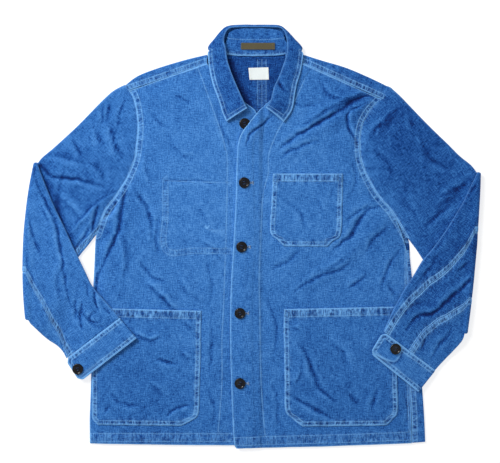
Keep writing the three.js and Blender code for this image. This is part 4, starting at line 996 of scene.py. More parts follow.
def finishPiece(name, parts, look=denim, slot="denim"):
    made[name] = meshFrom(name + ("_cloth" if slot == "denim" else "_made"), *combined(parts), look)
    attach(made[name], slot, name)


# Folds that lift the cloth in broad swells: start x y, end x y, half width, height
swells = [
    [-228, 100, -203, 60, 9, 1.2], [-243, 75, -238, -20, 12, 1.2], [-196, -87, -139, -136, 12, 1.4],
    [236, 258, 74, 174, 12, 2.0], [125, 182, 46, 140, 10, 1.0], [256, 46, 166, -52, 12, 1.6],
    [185, -43, 80, -102, 11, 1.4], [88, -200, 158, -300, 11, 1.0], [76, -300, 158, -342, 10, 0.9],
    [-400, 128, -300, 100, 10, 1.4], [-253, 83, -342, 8, 10, 1.0], [-402, 104, -338, -90, 10, 1.0],
    [424, 100, 372, 42, 10, 1.2], [424, 0, 330, -140, 10, 1.0], [412, -76, 302, -172, 10, 1.2],
]
# Folds of the back, seen from below only: the cloth lifts a little off the floor
backFolds = [
    ([-230, 90, -180, 20, -160, -60], 9, 1.1, -0.4), ([-110, 240, -60, 180, -50, 110], 8, 0.9, 0.4),
    ([40, 250, 100, 190, 120, 130], 8, 0.9, -0.4), ([230, 80, 180, 10, 150, -70], 9, 1.1, 0.4),
    ([-260, -200, -190, -250, -150, -310], 8, 0.9, 0.4), ([60, -180, 110, -240, 100, -320], 9, 1.0, -0.4),
    ([180, -220, 230, -280, 250, -340], 7, 0.8, 0.4), ([-60, -60, -20, -120, -30, -190], 8, 0.8, -0.3),
    ([-140, 40, -120, -20, -150, -80], 7, 0.7, 0.3), ([70, 30, 90, -30, 60, -90], 7, 0.7, -0.3),
]
sleeveFoldsBelow = [
    ([-290, 230, -300, 180, -330, 130], 7, 1.2, 0.4), ([-400, 110, -350, 70, -330, 20], 8, 1.2, -0.4),
    ([-270, 180, -280, 120, -310, 60], 7, 1.0, 0.3), ([300, 220, 310, 160, 340, 100], 7, 1.2, -0.4),
    ([410, 90, 370, 40, 350, -20], 8, 1.1, 0.4), ([270, 160, 290, 90, 310, 40], 7, 1.0, -0.3),
]


def swellAt(x, y):
    z = np.zeros(np.shape(x))
    for x0, y0, x1, y1, width, rise in swells:
        dx, dy = x1 - x0, y1 - y0
        t = ((x - x0) * dx + (y - y0) * dy) / (dx * dx + dy * dy)
        off = np.hypot(x - x0 - dx * t, y - y0 - dy * t)
        along = np.sin(np.pi * np.clip((t + 0.15) / 1.3, 0, 1))
        z += rise * along * peak(off, width)
    return z


# Painted light and shade, lighter on the chest and darker to the right, at the hips and armpits as the light
# falls off: x, y, reach, how much darker
paintedLightAndShade = {
    "body": [
        (-275, 20, 60, 0.30), (-240, 90, 45, 0.15), (-60, 130, 150, -0.22), (0, 0, 190, -0.12),
        (225, 225, 70, 0.34), (190, 292, 65, 0.30), (150, 225, 60, 0.10), (260, 10, 60, 0.22),
        (-200, -330, 120, 0.27), (-250, -200, 70, 0.12), (170, -300, 150, 0.30), (280, -330, 70, 0.10),
        (-150, 270, 90, 0.06), (60, -80, 90, 0.05),
    ],
    "sleeve": [
        (400, 60, 130, 0.64), (320, 190, 90, 0.54), (425, -20, 32, 0.50), (262, 232, 62, 0.46),
        (272, 120, 60, 0.22), (340, -120, 100, 0.58), (-400, 120, 60, 0.24), (-310, 130, 80, 0.28),
        (-270, 60, 60, 0.20), (-320, -160, 60, 0.10), (-380, -60, 60, 0.04), (-250, 210, 50, 0.16),
    ],
}


# colour change by region: the table's painted light and shade, plus tone that differs at random
def paintedLightAndShadeAt(x, y, key):
    amount = np.zeros(np.shape(x))
    for cx, cy, reach, darker in paintedLightAndShade[key]:
        amount += darker * np.exp(-(((x - cx) ** 2 + (y - cy) ** 2) / reach**2))
    return amount + 0.07 * wave2(x, y, 55, 21) + 0.04 * wave2(x, y, 24, 22)


def crumple(x, y, seed, height=0.5):
    # faint unevenness between the placed folds
    bend = 14 * wave2(x, y, 60, seed + 5)
    return height * (wave2(x + bend, y + 0.4 * bend, 34, seed) + 0.45 * wave2(x - bend, y, 15, seed + 1)
                     + 0.16 * wave2(x, y, 6.5, seed + 2))


# Seams on flat pieces: path, band width (its sign gives the side), rise, puckers, pale rows, ladder
seams = {
    "frontLeft": [
        ([-100, 314, -86, 276, -62, 208, -50, 168, -46, 144, -47, 48, -50, -47, -53, -132, -56, -196,
          -56, -273, -63, -365], 0.1, 0.15, 0.22, 0.35, 0.45),
        ([-304, -369, -191, -369, 10, -369], -15, 0.3, 0.4, 0.5, 0.7),
        ([-157, 104, -157, 41, -157, -21, -107, -21, -39, -22], -10, 0.2, 0.2, 0.45, 0.75),
        ([-163, 105, -107, 103, -41, 101], 0.1, 0.15, 0.16, 0.3, 0.3),
        ([-229, 272, -208, 281, -165, 296, -118, 312, -84, 323.7], -0.1, 0.2, 0.5, 0.3, 0.8),
    ],
    "frontRight": [
        ([98, 293, 79, 251, 59, 216, 44, 188, 32, 154, 31, 120, 21, 77, 17, 0, 14, -72, 15, -132, 17, -258,
          22, -340, 25, -373], 0.1, 0.15, 0.22, 0.4, 0.55),
        ([-39, -376, 44, -374, 166, -371, 299, -366], -15, 0.3, 0.4, 0.5, 0.7),
        ([11, 231, -8, 208, -22, 184, -29, 156, -30.5, 130, -33.5, 84, -35.5, 40, -38, -20, -42, -80,
          -44, -140, -44, -200, -41.5, -270, -39.5, -329, -36.5, -380], 0.1, 0.2, 0.3, 0.3, 0.6),
        ([289, 1, 287.5, -79, 292, -281, 296, -382], 0.1, 0.2, 0.45, 0.3, 0.8),
        ([246, 256.2, 212, 271.5, 170, 290.3, 127, 309.6, 95, 324], 0.1, 0.2, 0.5, 0.3, 0.8),
    ],
}


armholes = {"left": smoothPath(armholeLeft, 3), "right": smoothPath(armholeRight, 3)}


def armholeRelief(x, y, side, notes, band, pucker=0.6, pale=0.7, shown=True):
    # puckers and wear beside an armhole seam
    z = np.zeros(x.shape)
    mask, d, s, _ = nearPath(armholes[side], x, y, 34)
    d = np.abs(d)
    fold = gathers(s, 31 if side == "left" else 37, 0.6, 0.7)
    z[mask] = pucker * fold * skirt(d - 2, 9) - 0.5 * peak(d, 1.4)
    on = 1.0 if shown is True else shown[mask]
    notes.add(mask, d - 1.3, s + 300, band, pale * on, 0.9 * on)
    return z


def narrowed(rows, left, right):
    out = np.array(rows, float)
    out[:, 0] += left
    out[:, -2] += right
    return out


def panelPlaces(rows, step):
    vs = evenPlaces(rows, step, [k for k in range(1, len(rows[0]), 2)])
    span = max(abs(row[-2] - row[0]) for row in rows)
    return np.linspace(0, 1, max(3, int(round(span / step)) + 1)), vs


def finishMarks(relief, worn, notes, dyeAndPaintedLight=0.0, shade=0.0):
    # what the looks read: wear, crests (how far a point stands above its neighbours), darker dye with painted
    # light and shade by region, painted shade, seams
    # crests colour raised points paler as wear and hollows darker as painted shade
    crest = np.clip((relief - blur(relief, 3)) / 0.7, -1, 1)
    return {"worn": np.clip(worn, 0, 1), "crest": crest, "dyeAndPaintedLight": np.zeros(crest.shape) + dyeAndPaintedLight,
            "shade": np.clip(np.zeros(crest.shape) + shade, -0.6, 1.3), **notes.marks()}


def positive(z):
    return np.maximum(z, 0)


# Backs: flat on the floor, with a little lift where folds show from below
# a painted shadow lies beside this line inside the neck
rollLine = {"y": [239.6, 299.6, 336, 351], "x": [-9.1, -35.4, -47.5, -50.3]}  # the collar's left roll


def backPart(rows, side):
    rows = narrowed(rows, inner, -inner)
    us, vs = panelPlaces(rows, 4.6)
    x, y = planGrid(rows, us, vs)
    lift, shade = creaseHeight(x, y, backFolds)
    lift = positive(lift + 0.25 * crumple(x, y, 11))
    centre = [15, -391, 15, -119, 17, 6, 18.5, 148, 19, 262, 19, 341]
    hem = [-304, -369, 20, -370, 323, -365]
    notes = SeamMarks(x.shape)
    relief = seamHeight(x, y, [(centre, 8 if side == "left" else -8, 0.3, 0.3, 0.3, 0.4),
                               (hem, -15, 0.2, 0.3, 0.4, 0.6)], notes)
    armZ = armholeRelief(x, y, side, notes, 8.0, 0.5, 0.6)
    neck, neckShade = creaseHeight(x, y, creases["neck"])
    inNeck = ease(215, 250, y)
    top = wall + lift * 0.4 + positive(neck * inNeck + 0.5) + 0.4 * relief * ease(200, 230, y)
    low = positive(lift - 0.25 * relief - 0.3 * armZ)
    low *= np.clip(np.minimum(us, 1 - us)[:, None] / 0.02, 0, 1)
    p = np.stack([x, y, top], -1)
    laid.press(x, y, top, 2)
    marks = finishMarks(relief, 0 * x, notes, shade=0.5 * shade)
    part = layCloth(p, top - low, np.stack([x, y], -1), marks, facesUp(p, 9, 9), whole=True)
    # the side that shows in the neck is darkened all over, unfaded dye and painted shade, with a painted
    # shadow beside the collar's roll
    part["marks"]["dyeAndPaintedLight"][:x.size] = 1.0
    fromRoll = x - np.interp(y, rollLine["y"], rollLine["x"])
    part["marks"]["shade"][:x.size] = (0.6 * neckShade + 0.95 * ease(17, 5, fromRoll) * inNeck).ravel()
    return part


# how far a turned strip reaches under, and its steps round the fold and over to the seam
strip = {"under": 12, "bend": 10, "flat": 9}


def turnPart(rows, steps):
    # a strip of the back turned over a folded edge onto the front
    radius, mid = (seamTop - wall) / 2, wall / 2
    fx, fy, sx, sy = rowsAt(rows, np.linspace(0, 1, steps + 1)).T
    span = np.hypot(sx - fx, sy - fy)
    ix, iy = (sx - fx) / span, (sy - fy) / span
    back = radius + mid
    along, z = [np.full(len(fx), float(strip["under"]))], [np.zeros(len(fx))]
    for k in range(strip["bend"] + 1):
        angle = math.pi * k / strip["bend"]
        along.append(np.full(len(fx), back - back * math.sin(angle)))
        z.append(np.full(len(fx), mid + radius - back * math.cos(angle)))
    for k in range(1, strip["flat"] + 1):
        along.append(mix(back, span - 0.1, k / strip["flat"]))
        z.append(np.full(len(fx), mid + 2 * radius + mid))
    along, z = np.array(along).T, np.array(z).T
    x, y = fx[:, None] + ix[:, None] * along, fy[:, None] + iy[:, None] * along
    run = running(np.hypot(np.diff(fx), np.diff(fy)))[:, None] + 0 * along
    toSeam = span[:, None] - along
    onTop = z > seamTop * 0.8
    fold = 0.7 * wave1(run, 4.8, int(abs(rows[0][0]))) + 0.5 * wave1(run, 10, 3)
    fade = ease(0, 12, run) * ease(run.max(), run.max() - 12, run)
    relief = onTop * (0.55 * fold * fade - 0.4 * peak(along - span[:, None] + 1.6, 1.4))
    worn = 0.3 * peak(along, 1.3) + onTop * 0.35 * peak(along - span[:, None], 1.0)
    notes = SeamMarks(x.shape)
    notes.addAll(toSeam - 1.5, run + abs(rows[0][0]) * 10, 8.0, 0.7 * onTop, 1.0 * onTop)
    across = np.cumsum(np.hypot(np.diff(along), np.diff(z)), 1)
    across = np.concatenate([np.zeros((len(fx), 1)), across], 1)
    p = np.stack([x, y, z + relief], -1)
    laid.press(x, y, np.minimum(z, seamTop), 2)
    marks = finishMarks(relief, worn, notes, dyeAndPaintedLight=paintedLightAndShadeAt(x, y, "body") + 0.16)
    return layCloth(p, wall, np.stack([run, across], -1), marks, facesUp(p, 5, p.shape[1] - 3), whole=True)


finishPiece("back_left", [backPart(backLeftRows, "left"), turnPart(shoulderLeftRows, 64)])
finishPiece("back_right", [backPart(backRightRows, "right"), turnPart(shoulderRightRows, 64),
                           turnPart(sideRightRows, 150)])
print("stage: backs laid")


# Fronts
# a rubbed fleck on the left breast, with a faint crease beside it: x, y to x, y, reach, amount
flecks = [
    [-87, 20, -83.5, 15.5, 1.2, 1.0], [-83.5, 15.5, -80.5, 20, 1.2, 1.0],
    [-80, 13, -52, 11, 1.6, 0.35], [-74, 10, -50, 5, 1.8, 0.22],
]


def addFlecks(worn, x, y):
    for x0, y0, x1, y1, reach, amount in flecks:
        dx, dy = x1 - x0, y1 - y0
        t = np.clip(((x - x0) * dx + (y - y0) * dy) / (dx**2 + dy**2), 0, 1)
        worn += amount * peak(np.hypot(x - x0 - t * dx, y - y0 - t * dy), reach)


def frontPart(side, rows, left, right, base=None):
    key, isLeft = "front" + side.capitalize(), side == "left"
    rows = narrowed(rows, left, right)
    us, vs = panelPlaces(rows, cloth["step"])
    x, y = planGrid(rows, us, vs)
    u, v = us[:, None] + 0 * x, vs[None, :] + 0 * x
    out = u if isLeft else 1 - u  # from the side seam
    low = mix(ease(0, 0.09, out), 1, ease(-20, 40, y)) if isLeft else np.ones(x.shape)
    lift = mix(wall + 0.4, seamTop - wall, low)
    inside = ease(0, 0.1, out) * ease(0, 0.06, v) * ease(0, 0.08, 1 - v) * ease(0, 0.08, 1 - out)
    if base is not None:
        lift = np.maximum(lift, base(x, y) * ease(30, 12, x) + cloth["layer"])
    band = np.maximum(ease(0.13, 0.115, 1 - out), ease(0.032, 0.028, v))
    thick = mix(wall, cloth["hem"], band)
    folds, shade = creaseHeight(x, y, creases[key])
    body = folds + crumple(x, y, 40 if isLeft else 20, 0.42)
    edgeCalm = ease(0, 0.012, u) * ease(0, 0.012, 1 - u) * ease(0, 0.008, v) * ease(0, 0.008, 1 - v)
    notes = SeamMarks(x.shape)
    relief = seamHeight(x, y, seams[key], notes) + armholeRelief(x, y, side, notes, 8.0)
    rim = np.minimum(np.minimum(u, 1 - u) * 340, np.minimum(v, 1 - v) * 700)
    worn = 0.95 * peak(rim, 1.8) * (0.85 + 0.3 * wave2(x, y, 7, 9))
    if isLeft:
        addFlecks(worn, x, y)
    top = lift + 1.6 * inside + thick + swellAt(x, y) * inside + (body + relief) * edgeCalm
    top = np.maximum(top, wall + 0.6)
    p = np.stack([x, y, top], -1)
    laid.press(x, y, top, 1)
    marks = finishMarks(body + relief, worn, notes, dyeAndPaintedLight=paintedLightAndShadeAt(x, y, "body"), shade=shade)
    return layCloth(p, thick, np.stack([x, y], -1), marks, facesUp(p, 9, 9))


finishPiece("front_left", [frontPart("left", frontLeftRows, inner, 0)])

buttonShape = {"radius": 10.2, "height": 3.4, "hole": 1.1, "spread": 2.3, "seat": 4.2}
buttonPlaces = {
    "button_1": (-13, 212), "button_2": (-14, 101), "button_3": (-19, -19), "button_4": (-22, -143),
    "button_5": (-22, -274), "cuff_button_left": (-325, -247), "cuff_button_right": (268, -209),
}
buttonHeights = {}


def seatButton(name):
    x, y = buttonPlaces[name]
    z = float(laid.rest(5, 0)(x, y)) + 0.2
    buttonHeights[name] = z
    g = np.linspace(-7, 7, 5)
    gx, gy = np.meshgrid(x + g, y + g, indexing="ij")
    laid.press(gx, gy, np.full(gx.shape, z + buttonShape["seat"]), 2)


seatButton("button_1")
finishPiece("front_right", [frontPart("right", frontRightRows, 0, -0.2, laid.rest(4, 24))])
print("stage: fronts laid")


# Pockets: stitch rows this far from the rim, and the grid's step
pocket = {"edge": 1.8, "second": 8.0, "step": 2.4}


def patchPart(rows, key, hem):
    rows = np.array(rows, float)
    us, vs = panelPlaces(rows, pocket["step"])
    x, y = planGrid(rows, us, vs)
    # how far each point is from the sides, the lower edge and the top
    slants = [1 / np.hypot(1, np.gradient(x[k], y[k])) for k in (0, -1)]
    fromLeft, fromRight = (x - x[:1]) * slants[0], (x[-1:] - x) * slants[1]
    fromBottom, fromTop = y - y[:, :1], y[:, -1:] - y
    rim = np.minimum(np.minimum(fromLeft, fromRight), fromBottom)
    low = fromBottom <= rim + 0.01
    seed = int(abs(rows[0, 0]))
    edge, second = pocket["edge"], pocket["second"]
    fold = 0.7 * wave1(np.where(low, x, y), 4.8, seed) + 0.5 * wave1(x + y, 9.5, seed + 1)
    relief = 0.4 * fold * skirt(rim - 6, 7) * ease(0, 3, rim) - 0.4 * peak(rim - edge, 1.3) * (rim > 0.4)
    relief -= 0.35 * peak(rim - second, 1.3)
    relief += -0.5 * peak(fromTop - hem, 1.4) + 0.5 * ease(hem + 0.5, hem - 1.5, fromTop)
    across = 0.7 * wave1(x, 5, seed + 4) + 0.5 * wave1(x, 10, seed + 5)
    relief += 0.35 * across * skirt(fromTop - hem, 6) * (fromTop > hem - 3)
    worn = 0.95 * peak(rim, 1.6) + 0.8 * peak(fromTop, 1.6)
    worn *= 0.75 + 0.5 * wave2(x, y, 6, seed + 2)
    notes = SeamMarks(x.shape)
    around = np.where(low, x, np.where(fromLeft < fromRight, y, 700 - y))
    notes.addAll(rim - edge, around + seed, second - edge, 0.7, 1.15)
    notes.addAll(fromTop - 0.8, x + 2000 + seed, hem - 0.8, 0.7, 1.35)
    folds, shade = creaseHeight(x, y, creases[key])
    calm = ease(0, 5, rim) * ease(0, 4, fromTop)
    body = (folds + crumple(x, y, seed + 7, 0.36)) * calm
    under = laid.rest(3, 4)(x, y)
    top = np.maximum(blur(under, 2), under - 0.5) + 0.3 + wall + ease(0, 2, rim) * 0.2 + body + relief
    p = np.stack([x, y, top], -1)
    laid.press(x, y, top, 1)
    marks = finishMarks(body + relief, worn, notes, dyeAndPaintedLight=paintedLightAndShadeAt(x, y, "body"), shade=shade * calm)
    return layCloth(p, wall + 0.4, np.stack([x, y], -1), marks, facesUp(p, 9, 9))


finishPiece("hip_pocket_left", [patchPart(hipLeftRows, "hipLeft", 14.5)])
finishPiece("hip_pocket_right", [patchPart(hipRightRows, "hipRight", 14.5)])
finishPiece("chest_pocket", [patchPart(chestRows, "chest", 13.5)])
print("stage: pockets laid")


# Labels
def labelLook(name, dark, light, fine):
    look, surface, place = newLook(name, {"Specular IOR Level": 0.25})
    up = place.node("ShaderNodeSeparateXYZ", {}, {0: place}, out=1)
    ribs = place.math("SINE", up * (2 * math.pi / fine))
    weave = place.scaled(1 / 1.6, 1 / 0.5).noise(1.0, 2.0)
    worn = place.node("ShaderNodeAttribute", {"attribute_name": "worn"}, out=2)
    tone = weave * 0.9 + ribs * 0.16 + worn * 0.4 - 0.1
    feed(look, surface, "Base Color", tone.clip().toward(dark, light))
    feed(look, surface, "Roughness", 0.75 + weave * 0.15)
    feed(look, surface, "Normal", place.node("ShaderNodeBump", {}, {"Strength": 0.4, "Distance": 0.0004,
                                                                     "Height": ribs * 0.5 + weave}))
    return look


def label(name, rows, look, slot, curl):
    rows = np.array(rows, float)
    us, vs = np.linspace(0, 1, 61), np.linspace(0, 1, 27)
    x, y = planGrid(rows, us, vs)
    u, v = us[:, None] + 0 * x, vs[None, :] + 0 * x
    width, height = rows[0, 2] - rows[0, 0], rows[-1, 1] - rows[0, 1]
    fromEnd = np.minimum(u, 1 - u) * width
    rim = np.minimum(fromEnd, np.minimum(v, 1 - v) * height)
    lift = curl * (wave2(x, y, 9, 510) * 0.4 + 0.5) * ease(4, 0, fromEnd) * 0.6
    folded = 0.35 * ease(4.2, 3.6, fromEnd)
    stitch = -0.3 * peak(fromEnd - 1.8, 0.6)
    top = blur(laid.rest(3, 3)(x, y), 2) + 1.1 + lift + folded + stitch + 0.2 * wave2(x, y, 12, 511)
    p = np.stack([x, y, top], -1)
    marks = finishMarks(0.4 * folded, 0.8 * peak(rim, 0.7), SeamMarks(x.shape))
    finishPiece(name, [layCloth(p, 0.5, np.stack([x, y], -1), marks, facesUp(p, 9, 9), turn=3)], look, slot)


tapeLook = labelLook("brown_tape", (0.060, 0.052, 0.028), (0.175, 0.150, 0.088), 1.3)
whiteLook = labelLook("white_label", (0.72, 0.80, 0.80), (0.96, 1.0, 1.0), 0.9)
label("label_patch", labelRows, whiteLook, "label", 1.0)


# Collar: stitch rows from the stand's lower edge and from the leaf's rim
collar = {"standEdge": 2, "standUpper": 30, "leafEdge": 1.8, "leafSecond": 7.5}


def neckTape():
    # a strip that closes the neck seam under the stand, darkened in full for unfaded dye and painted shade
    x, y = np.meshgrid(np.linspace(-51, 65, 60), np.linspace(334, 345, 8), indexing="ij")
    tape = np.stack([x, y, laid.rest(3, 4)(x, y) + 0.5], -1)
    marks = finishMarks(0 * x, 0 * x, SeamMarks(x.shape), dyeAndPaintedLight=1.0)
    return layCloth(tape, 0.4, np.stack([x, y], -1), marks, facesUp(tape, 5, 4))


def standSurface(u, v, under):
    nx, ny, rx, ry, nz, rz = (c[:, None] for c in rowsAt(standRows, u).T)
    v = v[None, :]
    x, y = mix(nx, rx, v), mix(ny, ry, v)
    front = np.maximum(ease(0.28, 0.18, u), ease(0.72, 0.82, u))[:, None]
    free = mix(nz, rz, v)
    bed = under(x, y)
    behind = np.maximum(free, bed + wall / 2 + 0.5)
    return np.stack([x, y, mix(behind, bed + wall / 2 + free, front)], -1)


def collarStand():
    tape = neckTape()
    us, vs = np.linspace(0, 1, 240), np.linspace(0, 1, 26)
    mid = standSurface(us, vs, laid.rest(5, 12))
    x, y = mid[..., 0], mid[..., 1]
    run = running(np.linalg.norm(np.diff(mid[:, 0], axis=0), axis=1))[:, None] + 0 * x
    high = np.linalg.norm(mid[:, -1] - mid[:, 0], axis=1)[:, None] * vs[None, :]
    upperStitch = peak(high - collar["standUpper"], 1.3) * (high.max(1, keepdims=True) > 34)
    fold = gathers(run, 71, 0.7, 0.6)
    relief = -0.4 * peak(high - collar["standEdge"], 1.3) - 0.35 * upperStitch
    relief += 0.55 * fold * skirt(high, 8) * ease(0, 2, high) + 0.4 * wave2(x, y, 16, 73)
    relief -= 1.0 * peak(x - 1 - 0.1 * high, 5) * ease(18, 44, high)
    relief -= 0.9 * peak(x - 34 + 0.1 * high, 4) * ease(14, 44, high)
    notes = SeamMarks(run.shape)
    notes.addAll(high - 2, run + 500, 28.0, 0.5, 0.0)
    notes.fields["sl"][...] = 0.9 * ease(12, 2, high)
    flip = facesUp(mid, 120, 12)
    p = mid + gridNormals(mid) * (wall / 2) * (-1 if flip else 1)
    p[..., 2] += relief * ease(0, 2, high)
    marks = finishMarks(relief, 0.9 * peak(high, 1.5), notes, dyeAndPaintedLight=0.45)
    finishPiece("collar_stand", [layCloth(p, wall, np.stack([run, high], -1), marks, flip), tape])
    laid.pressGrid(p)


def leafSurface(u, v, under):
    row = rowsAt(leafRows, u)
    behind = np.clip(row[:, :1], 0, 1)
    a, b, c, d = (row[:, None, 1 + 3 * k:4 + 3 * k] for k in range(4))
    t = v[None, :, None]
    p = (1 - t) ** 3 * a + 3 * (1 - t) ** 2 * t * b + 3 * (1 - t) * t**2 * c + t**3 * d
    lying = under(p[..., 0], p[..., 1]) + wall / 2 + p[..., 2]
    p[..., 2] = mix(lying, p[..., 2] + wall / 2, behind)
    return p


def collarLeaf():
    us, vs = np.linspace(0, 1, 260), np.linspace(0, 1, 44)
    mid = leafSurface(us, vs, laid.rest(5, 14))
    x, y = mid[..., 0], mid[..., 1]
    run = running(np.linalg.norm(np.diff(mid[:, 22], axis=0), axis=1))[:, None] + 0 * x
    wide = np.cumsum(np.linalg.norm(np.diff(mid, axis=1), axis=2), axis=1)
    wide = np.concatenate([np.zeros((len(us), 1)), wide], 1)
    fromEdge = wide[:, -1:] - wide
    ends = np.minimum(run, run.max() - run)
    rim = np.minimum(fromEdge, ends)
    fold = gathers(run, 81, 0.7, 0.6)
    relief = -0.35 * peak(rim - collar["leafEdge"], 1.2) - 0.4 * peak(rim - collar["leafSecond"], 1.3)
    relief += 0.4 * fold * skirt(rim - 7, 7) * ease(0, 3, rim)
    folds, shade = creaseHeight(x, y, creases["leaf"])
    body = (folds + crumple(x, y, 83, 0.4)) * (ease(0, 6, wide) * ease(0, 4, rim))
    worn = 0.95 * peak(rim, 1.6) + 0.35 * peak(wide, 2.2)
    notes = SeamMarks(run.shape)
    notes.addAll(rim - collar["leafEdge"], np.where(ends < fromEdge, wide, run) + 700, 5.7, 0.65, 0.55)
    flip = facesUp(mid, 30, 22)
    n = gridNormals(mid) * (-1 if flip else 1)
    p = mid + n * (wall / 2) + n * (body + relief)[..., None]
    p[..., 2] = np.maximum(p[..., 2], 0.1)
    marks = finishMarks(body + relief, worn, notes, dyeAndPaintedLight=0.62, shade=shade)
    finishPiece("collar_leaf", [layCloth(p, wall, np.stack([run, wide], -1), marks, flip, whole=True)])
    laid.pressGrid(p)


collarStand()
label("label_tape", tapeRows, tapeLook, "tape", 0.3)
collarLeaf()
print("stage: collar laid")


# Sleeves
def stationRows(upper, fold, lower):
    # rows, turn angles and kinds (0 upper half, 1 elbow fold, 2 lower half), about one step apart
    first, last = list(upper) + [fold], [fold] + list(lower)
    edges = [0, 1, 2, 3]
    a = rowsAt(first, evenPlaces(first, tube["step"], edges))
    b = rowsAt(last, evenPlaces(last, tube["step"], edges))[1:]
    turns = np.radians(np.linspace(0, 180, tube["turns"] + 1))[1:]
    rows = np.concatenate([a, np.repeat(a[-1:], len(turns), 0), b])
    angle = np.concatenate([np.zeros(len(a)), turns, np.full(len(b), math.pi)])
    kind = np.concatenate([np.zeros(len(a)), np.ones(len(turns)), np.full(len(b), 2)])
    return rows, angle, kind


def armholeShift(armhole, t):
    a = np.array(armhole, float)
    d = a[-1] - a[0]
    share = ((a - a[0]) @ d) / (d @ d)
    return [np.interp(t, share, a[:, k]) - a[0, k] - d[k] * t for k in (0, 1)]


def tubeSurface(rows, angle, kind, q, outward, armhole, bed):
    ax, ay, bx, by, bow, thick = (rows[:, k][:, None] for k in range(6))
    length = np.hypot(bx - ax, by - ay)
    outX, outY = (by - ay) / length * outward, (ax - bx) / length * outward
    turn = np.mod(q, 2)
    front = turn <= 1
    t = np.where(front, turn, 2 - turn)
    radius, end = thick / 2, tube["arcShare"]
    nearA, nearB = t < end, t > 1 - end
    angleA, angleB = t / end * np.pi / 2, (1 - t) / end * np.pi / 2
    along = mix(radius, length - radius, (t - end) / (1 - 2 * end))
    along = np.where(nearA, radius - radius * np.cos(angleA), along)
    along = np.where(nearB, length - radius + radius * np.cos(angleB), along)
    off = np.where(nearA, radius * np.sin(angleA), np.where(nearB, radius * np.sin(angleB), radius))
    off = np.where(front, off, -off)
    along = along / length
    x = mix(ax, bx, along) + outX * bow * 4 * along * (1 - along)
    y = mix(ay, by, along) + outY * bow * 4 * along * (1 - along)
    apart = np.hypot(rows[:, 0] - rows[0, 0], rows[:, 1] - rows[0, 1])[:, None]
    fade = np.where(kind[:, None] == 0, 1 - ease(0, tube["armFade"], apart), 0)
    sx, sy = armholeShift(armhole, np.clip(along, 0, 1))
    x, y = x + sx * fade, y + sy * fade
    theta = angle[:, None]
    r = tube["foldRadius"]
    bend = kind[:, None] == 1
    x = x + np.where(bend, outX * r * np.sin(theta), 0)
    y = y + np.where(bend, outY * r * np.sin(theta), 0)
    z = thick / 2 + np.where(bend, r * (1 - np.cos(theta)), 0)
    low = kind[:, None] == 2
    if low.any():
        foldRow = rows[kind == 1][0]
        fromFold = np.hypot(rows[:, 0] - foldRow[0], rows[:, 1] - foldRow[1])[:, None]
        lying = bed(x, y) + cloth["layer"] + thick / 2
        exitZ = thick / 2 + 2 * r
        z = np.where(low, mix(np.maximum(lying, exitZ), lying, ease(0, 60, fromFold)), z)
    x = x - outX * np.sin(theta) * off
    y = y - outY * np.sin(theta) * off
    z = z + np.cos(theta) * off
    visible = np.where(kind[:, None] == 0, off > 0, off < 0)
    return np.stack([x, y, z], -1), along, off, visible, fade


# where the left sleeve is turned back, and how dark and wide the shade beside it is
leftTurn = [-400, 125.5, -374.6, 69.1, -355.8, 26.8, -341.7, -1.4, -325.2, -36.2]
turnShade = {"dark": 1.15, "wide": 9.5}
# the middle of each part round its tube, in half turns
partMiddle = {"top_left": 2.5, "top_right": 2.5, "under_left": 1.2, "under_right": 1.45}


def sleeveWeave(rows, kind, angle, x, y, off):
    # the weave runs straight along each half of the sleeve and changes at the elbow fold
    halves = []
    for chosen in (rows[kind == 0], rows[kind == 2]):
        lean = chosen[-1, :4] - chosen[0, :4]
        up = math.atan2(lean[1] + lean[3], lean[0] + lean[2])
        halves.append((x * math.sin(up) - y * math.cos(up), x * math.cos(up) + y * math.sin(up)))
    beyond = angle[:, None] > math.pi / 2
    across, lengthwise = (np.where(beyond, halves[1][k] + 137, halves[0][k]) for k in (0, 1))
    return np.stack([across + np.where(off > 0, 0, 61), lengthwise], -1)


def sleeveSeams(q, rows, girth, s, notes, isTop):
    # puckers beside the two long seams, which are felled onto the top sleeve
    relief = np.zeros(q.shape)
    distances = ((q - rows[:, 6:7] - (2 if isTop else 0)) * girth, (q - rows[:, 7:8]) * girth)
    for k, d in enumerate(distances):
        d = np.abs(d)
        fold = 0.6 * wave1(s, 4.8, 300 + k) + 0.7 * wave1(s, 10, 310 + k)
        inside = ease(9.5, 7.5, d) if isTop else 0
        relief += 0.45 * inside + 0.55 * fold * skirt(d - 6, 7) - 0.45 * peak(d, 1.4)
        notes.addAll(d - 1.3, s + 2000 * k + 400, 7.5 if isTop else 0.1, 0.8, 1.5)
    return relief


